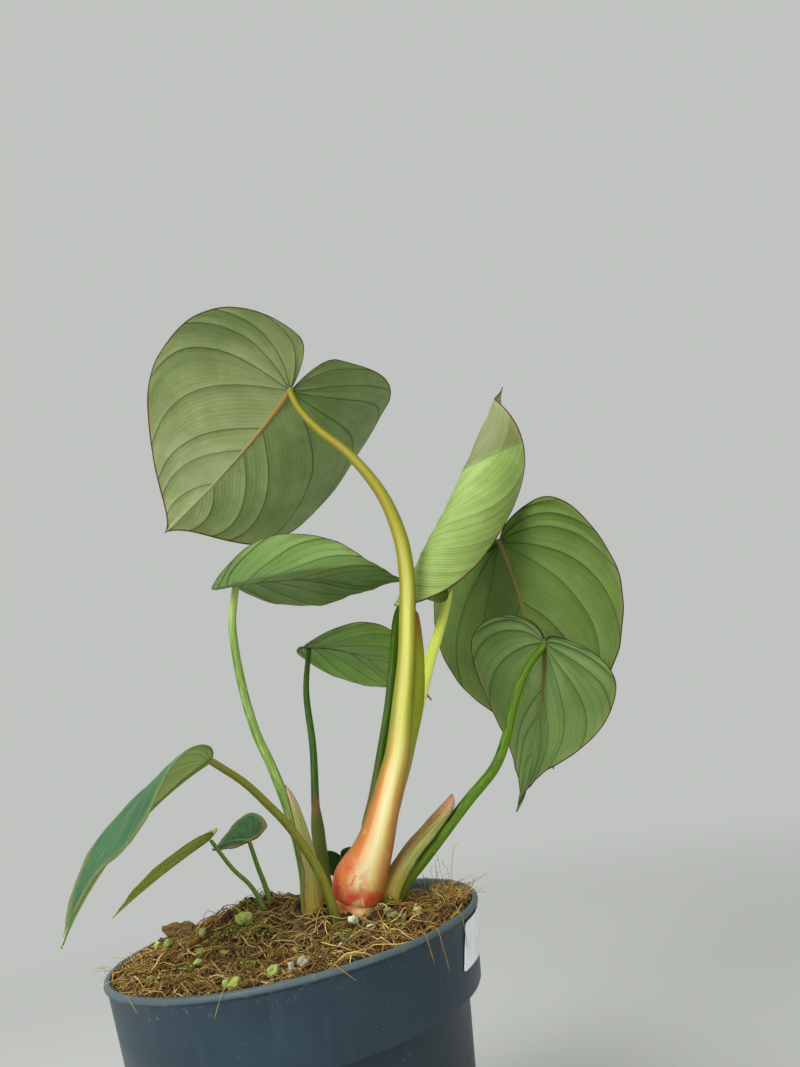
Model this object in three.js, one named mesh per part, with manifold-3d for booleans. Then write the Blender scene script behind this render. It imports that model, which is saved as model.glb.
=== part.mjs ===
// Potted philodendron: ten heart-shaped leaves on long stalks in a round nursery pot.
// Millimetres, +Z up, origin at the middle of the pot's flat underside.
import * as THREE from 'three';
import { mergeVertices } from 'three/addons/utils/BufferGeometryUtils.js';
import Module from 'manifold-3d';

const wasm = await Module();
wasm.setup();

// Pot
const POT_HEIGHT = 150;
const RIM_RADIUS = 85;
const LIP_HEIGHT = 3;
const LIP_OUT = 1;
const COLLAR_HEIGHT = 34;
const COLLAR_FOOT_RADIUS = 79.6;
const BODY_TOP_RADIUS = 73.7;
const FOOT_RADIUS = 60;
const WALL = 1.6;
const FLOOR = 2;
const POT_SEGMENTS = 48;
const DRAIN_HOLES = 8;
const DRAIN_RADIUS = 4;
const DRAIN_CIRCLE = 44;
const DRAIN_SIDES = 12;
const FOOT_ROUND = 1.5;
const EDGE_ROUND = 0.7;

// Sticker on the collar, in degrees round the pot and mm up it
const STICKER = { from: -24.5, to: 5.5, slant: 3.6, low: 128, high: 145.8, thickness: 0.4, steps: 8 };

// Soil
const SOIL_LEVEL = 147.5;
const MOUND = { x: -22, y: 8, spread: 22, rise: 14 };
const CROWN_RISE = { x: 32, y: -5, spread: 26, rise: 7.5 };
const DIP = { x: 60, y: 42, spread: 20, rise: -8 };
const SOIL_RINGS = 11;
const SOIL_SEGMENTS = 48;
const SOIL_SLACK = 0.4;
const FIBRES = {
  count: 26, reach: 70, shortest: 14, longest: 32, arch: 1.6, highest: 3.8, thick: 0.6, sunk: 1.2, steps: 4,
};
const CRUMBS = { count: 14, reach: 74, smallest: 1.3, largest: 2.8 };

// Blades and gaps
const BLADE_THICKNESS = 0.8;
const RIB_HEIGHT = 0.9;
const GAP = 0.3;

// Lateral veins are numbered from 0 at the tip to 1 at the notch. From BASE_VEIN on they all
// leave from the leaf's foot, and MAIN_VEINS are the strong ones. They crowd together at the
// tip, leave the midrib and meet the margin at the given degrees, and bend over a given reach.
const BASE_VEIN = 0.40;
const VEIN_CROWDING = 1.45;
const VEIN_LEAVE = 46;
const VEIN_ARRIVE = 24;
const VEIN_REACH = 0.42;
const MAIN_VEINS = [0, 0.14, 0.23, 0.29, 0.40, 0.56, 0.72, 0.82, 0.93, 1];

// Each leaf: foot is where its stalk joins, heading, climb and roll turn it, length is foot to
// tip along the midrib. right, left, widest, lobe and lobeSpread shape the outline in parts of
// the length. droop and back bend the midrib, fold and curl shape each half's cross-section,
// twist turns it towards the tip, all in degrees. quilt is the relief between veins in mm.
// rightLobe is a right lobe of its own: length, spread and how far its heel is drawn out.
// taper is where the outline's curve aims beside the tip, along and across.
const LEAVES = {
  leaf_a: {
    foot: [34, 45, 435], heading: 126, climb: -10, roll: 50, length: 128,
    right: 0.67, left: 0.63, widest: 0.36, lobe: 0.30, lobeSpread: 0.11,
    droop: 88, back: 15, foldRight: 20, foldLeft: 10, curlRight: 66, curlLeft: -27, twist: -22,
    quilt: 1.1, wave: 0.8, detail: 'fine', colour: 0x8fa25c,
  },
  leaf_b: {
    foot: [99, 42, 316], heading: 5, climb: 55, roll: 108, length: 125,
    right: 0.44, left: 0.50, widest: 0.27, lobe: 0.295, lobeSpread: 0.23, rightLobe: [0.18, 0.02, 0.6],
    taper: [0.79, 0.01],
    droop: 19, back: 0, foldRight: -15, foldLeft: 15, curlRight: 330, curlLeft: 199, twist: -29,
    quilt: 0.3, wave: 0, detail: 'fine', colour: 0xa3c765,
  },
  leaf_c: {
    foot: [137, 50, 320], heading: 19, climb: -79, roll: -23, length: 128,
    right: 0.52, left: 0.55, widest: 0.31, lobe: 0.10, lobeSpread: 0.26,
    droop: 28, back: 15, foldRight: 10, foldLeft: 9, curlRight: -24, curlLeft: -21, twist: 7,
    quilt: 1.1, wave: 0.8, detail: 'fine', colour: 0x648748,
  },
  leaf_d: {
    foot: [144, 12, 257], heading: 104, climb: -60, roll: 59, length: 90,
    right: 0.50, left: 0.54, widest: 0.14, lobe: 0.10, lobeSpread: 0.21, taper: [0.78, 0.005],
    droop: 38, back: 17, foldRight: -37, foldLeft: 23, curlRight: 68, curlLeft: -56, twist: -12,
    quilt: 0.9, wave: 0.6, detail: 'fine', colour: 0x69965a,
  },
  leaf_e: {
    foot: [-11, 25, 321], heading: 8.5, climb: -3, roll: 15, length: 96,
    right: 0.55, left: 0.56, widest: 0.21, lobe: 0.12, lobeSpread: 0.12,
    droop: 11, back: 16, foldRight: -7, foldLeft: 6, curlRight: 58, curlLeft: -38, twist: 30,
    quilt: 0.9, wave: 0.7, detail: 'fine', colour: 0x648c50,
  },
  leaf_f: {
    foot: [18, 62, 284], heading: 18, climb: -10, roll: -1, length: 81,
    right: 0.56, left: 0.54, widest: 0.28, lobe: 0.06, lobeSpread: 0.20,
    droop: 45, back: 15, foldRight: -12, foldLeft: 6, curlRight: 36, curlLeft: -22, twist: 21,
    quilt: 0.7, wave: 0.4, detail: 'middle', colour: 0x557346,
  },
  leaf_g: {
    foot: [-13, -63, 231.5], heading: 175.5, climb: -21.5, roll: 39, length: 86.6,
    right: 0.30, left: 0.50, widest: 0.29, lobe: 0.07, lobeSpread: 0.13, rightLobe: [0.01, 0.06, 0.6],
    droop: 59, back: 15, foldRight: 61, foldLeft: -11, curlRight: -4, curlLeft: -64, twist: 29,
    quilt: 0.6, wave: 0.3, detail: 'middle', colour: 0x4b8a62,
  },
  leaf_h: {
    foot: [-34, -6, 196.5], heading: 182, climb: -24, roll: -5, length: 55,
    right: 0.28, left: 0.30, widest: 0.30, lobe: 0.08, lobeSpread: 0.10,
    droop: 8, back: 15, foldRight: 15, foldLeft: 22, curlRight: -12, curlLeft: -6, twist: 4,
    quilt: 0.3, wave: 0.2, detail: 'coarse', colour: 0x556e2d,
  },
  leaf_i: {
    foot: [-19, 8, 191], heading: 142, climb: 7, roll: 15, length: 27,
    right: 0.59, left: 0.46, widest: 0.34, lobe: 0.12, lobeSpread: 0.35, rightLobe: [0.22, 0.34, 0.05],
    droop: 25, back: 15, foldRight: 53, foldLeft: -14, curlRight: 10, curlLeft: -12, twist: 4,
    quilt: 0.3, wave: 0.2, detail: 'coarse', colour: 0x3c7350,
  },
  leaf_j: {
    foot: [20.7, 32, 173], heading: 80, climb: -35, roll: 0, length: 28,
    right: 0.45, left: 0.45, widest: 0.30, lobe: 0.25, lobeSpread: 0.24,
    droop: 25, back: 30, foldRight: 10, foldLeft: 10, curlRight: -20, curlLeft: -20, twist: 0,
    quilt: 0.3, wave: 0.2, detail: 'coarse', colour: 0x2f6b3a,
  },
};

// Rows across a half blade follow the veins, and columns run out from the midrib to the margin
const DETAIL = {
  fine: {
    rows: [0.07, 0.14, 0.185, 0.23, 0.26, 0.29, 0.345, 0.40, 0.48, 0.56, 0.64, 0.72, 0.77, 0.82,
      0.875, 0.93, 1],
    columns: [0, 0.12, 0.35, 0.6, 0.82, 1],
  },
  middle: {
    rows: [0.08, 0.14, 0.23, 0.29, 0.345, 0.40, 0.48, 0.56, 0.64, 0.72, 0.82, 0.93, 1],
    columns: [0, 0.15, 0.45, 0.75, 1],
  },
  coarse: {
    rows: [0.1, 0.23, 0.32, 0.40, 0.56, 0.72, 0.86, 1],
    columns: [0, 0.2, 0.55, 1],
  },
};

// Each stalk: its centre line from the soil up to the leaf's foot, and its radius at each point
const STALKS = {
  stalk_a: {
    points: [[31, -9, 160], [33, -9, 165.5], [36, -9, 170], [40.2, -8.8, 176], [44.8, -8.3, 184],
      [50.5, -7.3, 196], [56.3, -6, 208.5], [61.4, -5, 220], [67.4, -3, 241], [73, -1.5, 261],
      [77.5, 1, 282], [81.3, 4, 304], [81.5, 9, 327], [76, 19, 354], [63, 30, 382], [47, 37, 404],
      [38, 41, 420], [34, 44, 433]],
    radii: [11.4, 12.3, 11.6, 9.8, 8.3, 7.1, 6.5, 6.1, 5.2, 4.6, 4.3, 4.1, 3.8, 3.3, 2.9, 2.5, 2.2, 2.1],
    sides: 12, colour: 0xc3b75f,
  },
  stalk_b: {
    points: [[45.5, -0.5, 179], [49.5, 4, 188], [56, 8, 202], [64, 11, 219], [74.5, 15, 239],
      [84.6, 20, 260.2], [92.4, 30, 274.8], [99.9, 45, 290.4], [102.6, 49, 299], [103.6, 50, 309],
      [100, 45, 316]],
    radii: [3.2, 3.2, 3.2, 3.2, 3.1, 3, 2.7, 2.4, 2.4, 2.4, 2.3],
    sides: 10, colour: 0xa6cf4a,
  },
  stalk_c: {
    points: [[37.2, -1.5, 179], [40, 1.2, 189], [44.8, 3.2, 200], [52.3, 5.5, 220], [60.6, 8.5, 243.5],
      [66.7, 14, 266], [73.6, 30, 290], [88, 50, 305], [104, 60, 312], [122, 58, 317], [136, 51.5, 320]],
    radii: [2.5, 2.5, 2.4, 2.3, 2.3, 2.3, 2.3, 2.2, 2.1, 2, 1.9],
    sides: 8, colour: 0x4c7a2c,
  },
  stalk_d: {
    points: [[45.5, -3.5, 148], [49, -2.5, 155.5], [55, -1, 162.3], [63.7, 1.2, 169], [74, 3.2, 177.3], [89, 5, 189.7],
      [105, 6, 202.3], [114, 7, 215.5], [121, 9, 230], [131.5, 10, 246], [143, 12, 256]],
    radii: [3.4, 3.3, 3.2, 3, 2.8, 2.6, 2.5, 2.4, 2.3, 2.2, 2],
    sides: 8, colour: 0x5d9a2e,
  },
  stalk_e: {
    points: [[7.3, -6, 146], [8.4, -5.5, 163], [8.7, -5, 174], [6.9, -3, 189], [3.4, 0, 206], [-2, 4.5, 224],
      [-8.6, 9.5, 243], [-13.6, 16, 270], [-15, 21, 298], [-11, 25, 320]],
    radii: [4.2, 3.8, 3.3, 2.8, 2.5, 2.3, 2.2, 2.2, 2.1, 1.9],
    sides: 8, colour: 0x7da047,
  },
  stalk_f: {
    points: [[12, 20, 146], [12, 20, 171], [12.8, 24.5, 196], [15, 35, 228], [14, 49, 258], [17.5, 61.5, 282.5]],
    radii: [3.2, 2.9, 2.2, 1.9, 1.7, 1.4],
    sides: 8, colour: 0x4e8a2a,
  },
  stalk_g: {
    points: [[23.5, -23.5, 146], [21.5, -25, 162], [18.8, -27, 175], [14.6, -30, 187], [9.3, -35, 199],
      [3.5, -41, 209], [-3, -50, 220], [-12, -62, 231]],
    radii: [2.3, 2.2, 2.1, 2, 1.8, 1.7, 1.6, 1.5],
    sides: 8, colour: 0x8c8f3c,
  },
  stalk_h: {
    points: [[-11, -2, 148], [-14.3, -2, 163], [-18.4, -3, 172.7], [-25.2, -4.5, 181.7], [-32.8, -5.6, 195.2]],
    radii: [1.15, 1.1, 1, 0.95, 0.9],
    sides: 6, colour: 0x6f8f3a,
  },
  stalk_i: {
    points: [[-11.5, 6, 148], [-12.2, 6.5, 161], [-14, 7.6, 170], [-16.2, 8, 178.5], [-18.5, 8, 190]],
    radii: [1.35, 1.3, 1.2, 1.1, 1],
    sides: 6, colour: 0x5f8a34,
  },
  stalk_j: {
    points: [[20, 24, 146], [21, 27, 161], [20.7, 31, 172]],
    radii: [1.6, 1.5, 1.2],
    sides: 6, colour: 0x5f8a34,
  },
};
const STALK_STEPS = 2;

// Each sheath is a papery shell round part of a stalk: centre line, radius at each point, and
// the arc that it covers there in degrees. facing is the arc's middle: 0 is +X, 90 is +Y.
const SHEATHS = {
  sheath_b: {
    points: [[48, 3, 187], [52, 5.5, 198], [58, 7, 212], [64.6, 7.5, 226], [71.2, 7.5, 243], [74.8, 8.3, 260],
      [76.8, 9.2, 274.5], [77.6, 11, 285]],
    radii: [5.5, 6.4, 7, 7, 7, 6.9, 6.5, 5.8], arcs: [110, 115, 115, 115, 115, 115, 110, 90], facing: -42,
    colour: 0x9a6a3a,
  },
  sheath_d: {
    points: [[43.5, -5, 147], [46.5, -4.5, 159], [56, -1.5, 169.9], [67, 1.8, 178.6], [76.2, 3.6, 185.6],
      [84.2, 4.6, 192.4]],
    radii: [5.6, 5.8, 5.2, 4.7, 4.1, 3.2], arcs: [265, 270, 270, 265, 245, 190], facing: 195,
    colour: 0x8a8a4a,
  },
  sheath_e: {
    points: [[8.5, -5, 147], [9.6, -5, 165], [10.2, -4.5, 175], [8.8, -3.5, 185], [6.7, -1.5, 197],
      [4, 1, 208], [1.8, 2.6, 212.5]],
    radii: [5.4, 4.9, 4.7, 4.6, 4.1, 3.2, 2.4], arcs: [220, 210, 200, 180, 150, 110, 50], facing: -15,
    colour: 0xd8b98c,
  },
  sheath_f: {
    points: [[12.2, 20, 147], [12.2, 20, 171], [12.6, 23.2, 188], [13.2, 26, 206]],
    radii: [4.3, 3.9, 3.2, 2.2], arcs: [250, 240, 210, 60], facing: -60,
    colour: 0x8a6f3c,
  },
};
const SHEATH_THICKNESS = 0.8;
const SHEATH_STEPS = 2;
const SHEATH_STRIPS = 6;

// The short stem under the main stalk
const RHIZOME = { x: 30.5, y: -9, low: 138, high: 162, radius: 10.4, bevel: 3, sides: 20 };

// Crumbs placed by hand: x, y, radius. The rest are scattered.
const LARGE_CRUMBS = [
  [12, -72, 2.6], [32, -34, 2.2], [48, -38, 2.4], [38, -46, 1.8], [-66, 13, 2.6], [-42, -14, 3.0],
  [-27, 8, 3.0], [-8, -76, 2.6], [8, -78, 2.0], [-70, 34, 4.2], [58, -8, 2.0], [-8, 12, 2.6],
];

const rad = THREE.MathUtils.degToRad;

// The same draws each run
function randomSource(seed) {
  let state = seed;
  return () => {
    state = (state * 16807) % 2147483647;
    return state / 2147483647;
  };
}

// Closed geometry from a list of points and triangles, with its faces turned outward
function solid(points, triangles) {
  let volume = 0;
  for (const [a, b, c] of triangles) {
    volume += points[a].dot(new THREE.Vector3().crossVectors(points[b], points[c]));
  }
  const index = triangles.flatMap(([a, b, c]) => (volume > 0 ? [a, b, c] : [a, c, b]));
  const geometry = new THREE.BufferGeometry();
  geometry.setAttribute('position', new THREE.Float32BufferAttribute(points.flatMap((p) => p.toArray()), 3));
  geometry.setIndex(index);
  return geometry;
}

function toManifold(geometry) {
  const plain = geometry.clone();
  plain.deleteAttribute('normal');
  plain.deleteAttribute('uv');
  const merged = mergeVertices(plain, 1e-4);
  return new wasm.Manifold(new wasm.Mesh({
    numProp: 3,
    vertProperties: Float32Array.from(merged.attributes.position.array),
    triVerts: Uint32Array.from(merged.index.array),
  }));
}

function toGeometry(manifold) {
  const mesh = manifold.getMesh();
  const geometry = new THREE.BufferGeometry();
  geometry.setAttribute('position', new THREE.BufferAttribute(mesh.vertProperties, 3));
  geometry.setIndex(new THREE.BufferAttribute(mesh.triVerts, 1));
  return geometry;
}

function cut(geometry, ...tools) {
  let body = toManifold(geometry);
  for (const tool of tools) {
    body = body.subtract(toManifold(tool));
  }
  return largestPiece(toGeometry(body));
}

// Keeps the largest of the separate pieces that a cut leaves
function largestPiece(geometry) {
  const index = geometry.index.array;
  const parent = Array.from({ length: geometry.attributes.position.count }, (_, i) => i);
  const find = (i) => {
    let root = i;
    while (parent[root] !== root) root = parent[root];
    while (parent[i] !== root) [parent[i], i] = [root, parent[i]];
    return root;
  };
  for (let i = 0; i < index.length; i += 3) {
    parent[find(index[i])] = find(index[i + 1]);
    parent[find(index[i + 1])] = find(index[i + 2]);
  }
  const groups = new Map();
  for (let i = 0; i < index.length; i += 3) {
    const root = find(index[i]);
    if (!groups.has(root)) groups.set(root, []);
    groups.get(root).push(index[i], index[i + 1], index[i + 2]);
  }
  const largest = [...groups.values()].sort((a, b) => b.length - a.length)[0];
  const kept = new THREE.BufferGeometry();
  kept.setAttribute('position', geometry.attributes.position.clone());
  kept.setIndex(largest);
  return dropUnused(kept);
}

function dropUnused(geometry) {
  const plain = geometry.toNonIndexed();
  return mergeVertices(plain, 1e-5);
}

function cubic(p0, p1, p2, p3, t) {
  const s = 1 - t;
  const weights = [s * s * s, 3 * s * s * t, 3 * s * t * t, t * t * t];
  return [0, 1].map((k) => weights[0] * p0[k] + weights[1] * p1[k] + weights[2] * p2[k] + weights[3] * p3[k]);
}

// Outline of one half blade in parts of the leaf's length: x runs from the foot to the tip,
// and y out from the midrib
function halfOutline(leaf, side) {
  const width = side > 0 ? leaf.right : leaf.left;
  const [lobe, spread, roundness] = (side > 0 && leaf.rightLobe) || [leaf.lobe, leaf.lobeSpread, 0.6];
  const tip = [1, 0];
  const taper = leaf.taper || [0.84, 0.035];
  const wide = [leaf.widest, width];
  const rear = [-lobe, spread];
  const shoulder = [wide[0] + (1 - leaf.widest) * 0.5, width];
  const flank = [wide[0] - (leaf.widest + lobe) * 0.5, width];
  const heel = [rear[0], rear[1] + (width - spread) * roundness];
  const sinusStart = [-lobe * 0.55, spread * 0.12];
  const sinusEnd = [rear[0], rear[1] * 0.4];
  const margin = [];
  const steps = 100;
  for (let i = 0; i <= steps; i += 1) margin.push(cubic(tip, taper, shoulder, wide, i / steps));
  for (let i = 1; i <= steps; i += 1) margin.push(cubic(wide, flank, heel, rear, i / steps));
  const lengths = [0];
  for (let i = 1; i < margin.length; i += 1) {
    const step = Math.hypot(margin[i][0] - margin[i - 1][0], margin[i][1] - margin[i - 1][1]);
    lengths.push(lengths[i - 1] + step);
  }
  return { margin, lengths, total: lengths[lengths.length - 1], sinusStart, sinusEnd };
}

function marginPoint(outline, part) {
  const goal = THREE.MathUtils.clamp(part, 0, 1) * outline.total;
  let i = 1;
  while (i < outline.lengths.length - 1 && outline.lengths[i] < goal) i += 1;
  const step = outline.lengths[i] - outline.lengths[i - 1];
  const t = step > 0 ? (goal - outline.lengths[i - 1]) / step : 0;
  return [0, 1].map((k) => THREE.MathUtils.lerp(outline.margin[i - 1][k], outline.margin[i][k], t));
}

// A point of the half blade at vein a (0 tip, 1 edge of the notch) and part b of the way from
// the midrib to the margin. Veins leave the midrib or the foot and sweep towards the tip.
function veinPoint(outline, a, b) {
  const part = a ** VEIN_CROWDING;
  const end = marginPoint(outline, part);
  const start = [Math.max(1 - a / BASE_VEIN, 0), 0];
  const u = THREE.MathUtils.clamp((a - BASE_VEIN) / (1 - BASE_VEIN), 0, 1);
  const notch = Math.PI - Math.atan2(outline.sinusStart[1], -outline.sinusStart[0]);
  const leave = THREE.MathUtils.lerp(rad(VEIN_LEAVE), notch, u ** 1.1);
  const reach = VEIN_REACH * Math.hypot(end[0] - start[0], end[1] - start[1]);
  const ahead = marginPoint(outline, part - 0.01);
  const behind = marginPoint(outline, part + 0.01);
  const along = Math.atan2(ahead[1] - behind[1], ahead[0] - behind[0]);
  const arrive = along + rad(VEIN_ARRIVE) * (1 - u ** 3);
  const first = [start[0] + reach * Math.cos(leave), start[1] + reach * Math.sin(leave)];
  const second = [end[0] - reach * Math.cos(arrive), end[1] - reach * Math.sin(arrive)];
  const edge = u ** 6;
  const control1 = [0, 1].map((k) => THREE.MathUtils.lerp(first[k], outline.sinusStart[k], edge));
  const control2 = [0, 1].map((k) => THREE.MathUtils.lerp(second[k], outline.sinusEnd[k], edge));
  return cubic(start, control1, control2, end, b);
}

// The blade's axes: towards the tip, to its right, and out of its upper face
function leafAxes(leaf) {
  const h = rad(leaf.heading);
  const c = rad(leaf.climb);
  const r = rad(leaf.roll);
  const ahead = new THREE.Vector3(Math.cos(h) * Math.cos(c), Math.sin(h) * Math.cos(c), Math.sin(c));
  const level = new THREE.Vector3(Math.sin(h), -Math.cos(h), 0);
  const upright = new THREE.Vector3().crossVectors(level, ahead);
  const up = upright.clone().multiplyScalar(Math.cos(r)).addScaledVector(level, Math.sin(r));
  const right = level.clone().multiplyScalar(Math.cos(r)).addScaledVector(upright, -Math.sin(r));
  return { ahead, right, up };
}

// Bends a flat point of the blade into place. side is 1 on the right and -1 on the left.
function bentPoint(leaf, axes, x, y, side) {
  const width = side > 0 ? leaf.right : leaf.left;
  const fold = rad(side > 0 ? leaf.foldRight : leaf.foldLeft);
  const curl = rad(side > 0 ? leaf.curlRight : leaf.curlLeft) / width;
  const turn = fold + curl * y;
  const across = (Math.sin(turn) - Math.sin(fold)) / curl;
  const height = (Math.cos(fold) - Math.cos(turn)) / curl;
  const bend = rad(x >= 0 ? leaf.droop : leaf.back) || 1e-6;
  const along = Math.sin(bend * x) / bend;
  const sink = (Math.cos(bend * x) - 1) / bend;
  const twist = rad(leaf.twist) * x;
  const up = axes.up.clone().multiplyScalar(Math.cos(bend * x))
    .addScaledVector(axes.ahead, Math.sin(bend * x));
  const right = axes.right.clone().multiplyScalar(Math.cos(twist)).addScaledVector(up, Math.sin(twist));
  const normal = up.clone().multiplyScalar(Math.cos(twist)).addScaledVector(axes.right, -Math.sin(twist));
  return new THREE.Vector3()
    .addScaledVector(axes.ahead, along)
    .addScaledVector(axes.up, sink)
    .addScaledVector(right, side * across)
    .addScaledVector(normal, height)
    .multiplyScalar(leaf.length)
    .add(new THREE.Vector3(...leaf.foot));
}

function bladeNormal(leaf, axes, x, y, side) {
  const e = 1e-3;
  const dx = bentPoint(leaf, axes, x + e, y, side).sub(bentPoint(leaf, axes, x - e, y, side));
  const dy = bentPoint(leaf, axes, x, y + e, side).sub(bentPoint(leaf, axes, x, y, side));
  return new THREE.Vector3().crossVectors(dx, dy).multiplyScalar(side).normalize().negate();
}

// Height of the blade above its smooth surface: puffed up between veins, waved at the margin
function relief(leaf, a, b, side) {
  const next = MAIN_VEINS.findIndex((vein) => vein >= a);
  const high = MAIN_VEINS[Math.max(next, 1)];
  const low = MAIN_VEINS[Math.max(next, 1) - 1];
  const between = THREE.MathUtils.clamp((a - low) / (high - low), 0, 1);
  const puff = leaf.quilt * Math.sin(Math.PI * between) * Math.sin(Math.PI * Math.min(b, 0.999)) ** 0.7;
  const wave = leaf.wave * b ** 3 * Math.sin(2 * Math.PI * (4.3 * a + (side > 0 ? 0.1 : 0.45)));
  return puff + wave * Math.sin(Math.PI * a);
}

// Moves a point of the blade's edge outward, so that a cutting tool clears the edge too
function widen(flat, outline, a, b, distance) {
  const outward = (from) => {
    const step = Math.hypot(flat[0] - from[0], flat[1] - from[1]);
    if (step > 0) {
      flat[0] += (distance * (flat[0] - from[0])) / step;
      flat[1] += (distance * (flat[1] - from[1])) / step;
    }
  };
  if (b === 1) outward(veinPoint(outline, a, 0.9));
  if (a === 1 && b > 0) outward(veinPoint(outline, 0.96, b));
  if (b === 0 && flat[0] === 0) flat[0] -= distance;
}

// A leaf blade as one closed skin. below and above thicken it into a tool for cutting stalks.
function bladeGeometry(leaf, below = 0, above = 0) {
  const { rows, columns } = DETAIL[leaf.detail];
  const axes = leafAxes(leaf);
  const points = [];
  const normals = [];
  const ribs = [];
  const ids = new Map();
  const vertex = (side, i, j, outline) => {
    const a = i < 0 ? 0 : rows[i];
    const b = i < 0 ? 0 : columns[j];
    const onMidrib = i < 0 || j === 0;
    const flat = i < 0 ? [1, 0] : veinPoint(outline, a, b);
    const key = onMidrib ? `m${flat[0].toFixed(6)}` : `${side} ${i} ${j}`;
    if (ids.has(key)) return ids.get(key);
    if (below > 0) widen(flat, outline, a, b, (2 * below) / leaf.length);
    const x = flat[0];
    const y = onMidrib ? 0 : flat[1];
    const normal = bladeNormal(leaf, axes, x, y, side);
    if (onMidrib) normal.add(bladeNormal(leaf, axes, x, y, -side)).normalize();
    const height = onMidrib ? 0 : relief(leaf, a, b, side);
    points.push(bentPoint(leaf, axes, x, y, side).addScaledVector(normal, height));
    normals.push(normal);
    ribs.push(onMidrib ? RIB_HEIGHT * (1 - 0.8 * x) : 0);
    ids.set(key, points.length - 1);
    return points.length - 1;
  };
  const skin = [];
  const loop = [];
  for (const side of [1, -1]) {
    const outline = halfOutline(leaf, side);
    const edge = [];
    const tip = vertex(side, -1, 0, outline);
    const last = columns.length - 1;
    for (let i = 0; i < rows.length; i += 1) {
      for (let j = 0; j < last; j += 1) {
        const a = i === 0 ? tip : vertex(side, i - 1, j, outline);
        const b = vertex(side, i, j, outline);
        const c = vertex(side, i, j + 1, outline);
        const d = i === 0 ? tip : vertex(side, i - 1, j + 1, outline);
        for (const tri of [[a, b, c], [a, c, d]]) {
          if (new Set(tri).size === 3) skin.push(side > 0 ? tri : [tri[0], tri[2], tri[1]]);
        }
      }
      edge.push(vertex(side, i, last, outline));
    }
    for (let j = last - 1; j >= 1; j -= 1) edge.push(vertex(side, rows.length - 1, j, outline));
    if (side > 0) {
      loop.push(tip, ...edge, vertex(side, rows.length - 1, 0, outline));
    } else {
      loop.push(...edge.reverse());
    }
  }
  const half = BLADE_THICKNESS / 2;
  const count = points.length;
  const upper = points.map((p, i) => p.clone().addScaledVector(normals[i], half + above));
  const lower = points.map((p, i) => p.clone().addScaledVector(normals[i], -half - below - ribs[i]));
  const triangles = [...skin];
  for (const [a, b, c] of skin) triangles.push([a + count, c + count, b + count]);
  loop.forEach((a, k) => {
    const b = loop[(k + 1) % loop.length];
    triangles.push([a, b, b + count], [a, b + count, a + count]);
  });
  return solid([...upper, ...lower], triangles);
}

// Smooth centre line with its radius, and a pair of axes square to it at each step
function centreLine(points, values, steps) {
  const through = (list) => {
    const knots = list.map((entry) => new THREE.Vector3(...entry));
    return new THREE.CatmullRomCurve3(knots, false, 'catmullrom', 0.5);
  };
  const path = through(points);
  const value = through(values);
  const total = (points.length - 1) * steps;
  const line = [];
  for (let i = 0; i <= total; i += 1) {
    const tangent = path.getTangent(i / total);
    const across = new THREE.Vector3(1, 0, 0).addScaledVector(tangent, -tangent.x).normalize();
    const back = new THREE.Vector3().crossVectors(tangent, across);
    line.push({ centre: path.getPoint(i / total), across, back, value: value.getPoint(i / total), tangent });
  }
  return line;
}

// A round stalk, swollen by extra to cut clearance round it
function stalkGeometry(stalk, extra = 0) {
  const line = centreLine(stalk.points, stalk.radii.map((r) => [r, 0, 0]), STALK_STEPS);
  const points = [];
  const triangles = [];
  const sides = stalk.sides;
  if (extra > 0) {
    line[0].centre.addScaledVector(line[0].tangent, -extra);
    line[line.length - 1].centre.addScaledVector(line[line.length - 1].tangent, extra);
  }
  for (const { centre, across, back, value } of line) {
    for (let k = 0; k < sides; k += 1) {
      const turn = (2 * Math.PI * k) / sides;
      const radius = value.x + extra;
      points.push(centre.clone()
        .addScaledVector(across, radius * Math.cos(turn))
        .addScaledVector(back, radius * Math.sin(turn)));
    }
  }
  for (let i = 0; i < line.length - 1; i += 1) {
    for (let k = 0; k < sides; k += 1) {
      const a = i * sides + k;
      const b = i * sides + ((k + 1) % sides);
      triangles.push([a, b, b + sides], [a, b + sides, a + sides]);
    }
  }
  const end = (line.length - 1) * sides;
  for (let k = 1; k < sides - 1; k += 1) {
    triangles.push([0, k + 1, k], [end, end + k, end + k + 1]);
  }
  return solid(points, triangles);
}

// A papery shell that covers an arc round its centre line
function sheathGeometry(sheath, extra = 0) {
  const values = sheath.radii.map((radius, i) => [radius, sheath.arcs[i], 0]);
  const line = centreLine(sheath.points, values, SHEATH_STEPS);
  if (extra > 0) line[0].centre.addScaledVector(line[0].tangent, -extra);
  const points = [];
  const triangles = [];
  const ring = 2 * (SHEATH_STRIPS + 1);
  for (const { centre, across, back, value } of line) {
    for (const skin of [0, 1]) {
      for (let k = 0; k <= SHEATH_STRIPS; k += 1) {
        const part = (skin ? SHEATH_STRIPS - k : k) / SHEATH_STRIPS - 0.5;
        const wider = THREE.MathUtils.radToDeg((2 * extra) / value.x);
        const turn = rad(sheath.facing + part * (value.y + wider));
        const radius = skin ? value.x - SHEATH_THICKNESS - extra : value.x + extra;
        points.push(centre.clone()
          .addScaledVector(across, radius * Math.cos(turn))
          .addScaledVector(back, radius * Math.sin(turn)));
      }
    }
  }
  for (let i = 0; i < line.length - 1; i += 1) {
    for (let k = 0; k < ring; k += 1) {
      const a = i * ring + k;
      const b = i * ring + ((k + 1) % ring);
      triangles.push([a, b, b + ring], [a, b + ring, a + ring]);
    }
  }
  const end = (line.length - 1) * ring;
  for (let k = 0; k < SHEATH_STRIPS; k += 1) {
    const j = ring - 1 - k;
    triangles.push([k, j, k + 1], [k + 1, j, j - 1]);
    triangles.push([end + k, end + k + 1, end + j], [end + k + 1, end + j - 1, end + j]);
  }
  return solid(points, triangles);
}

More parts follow.
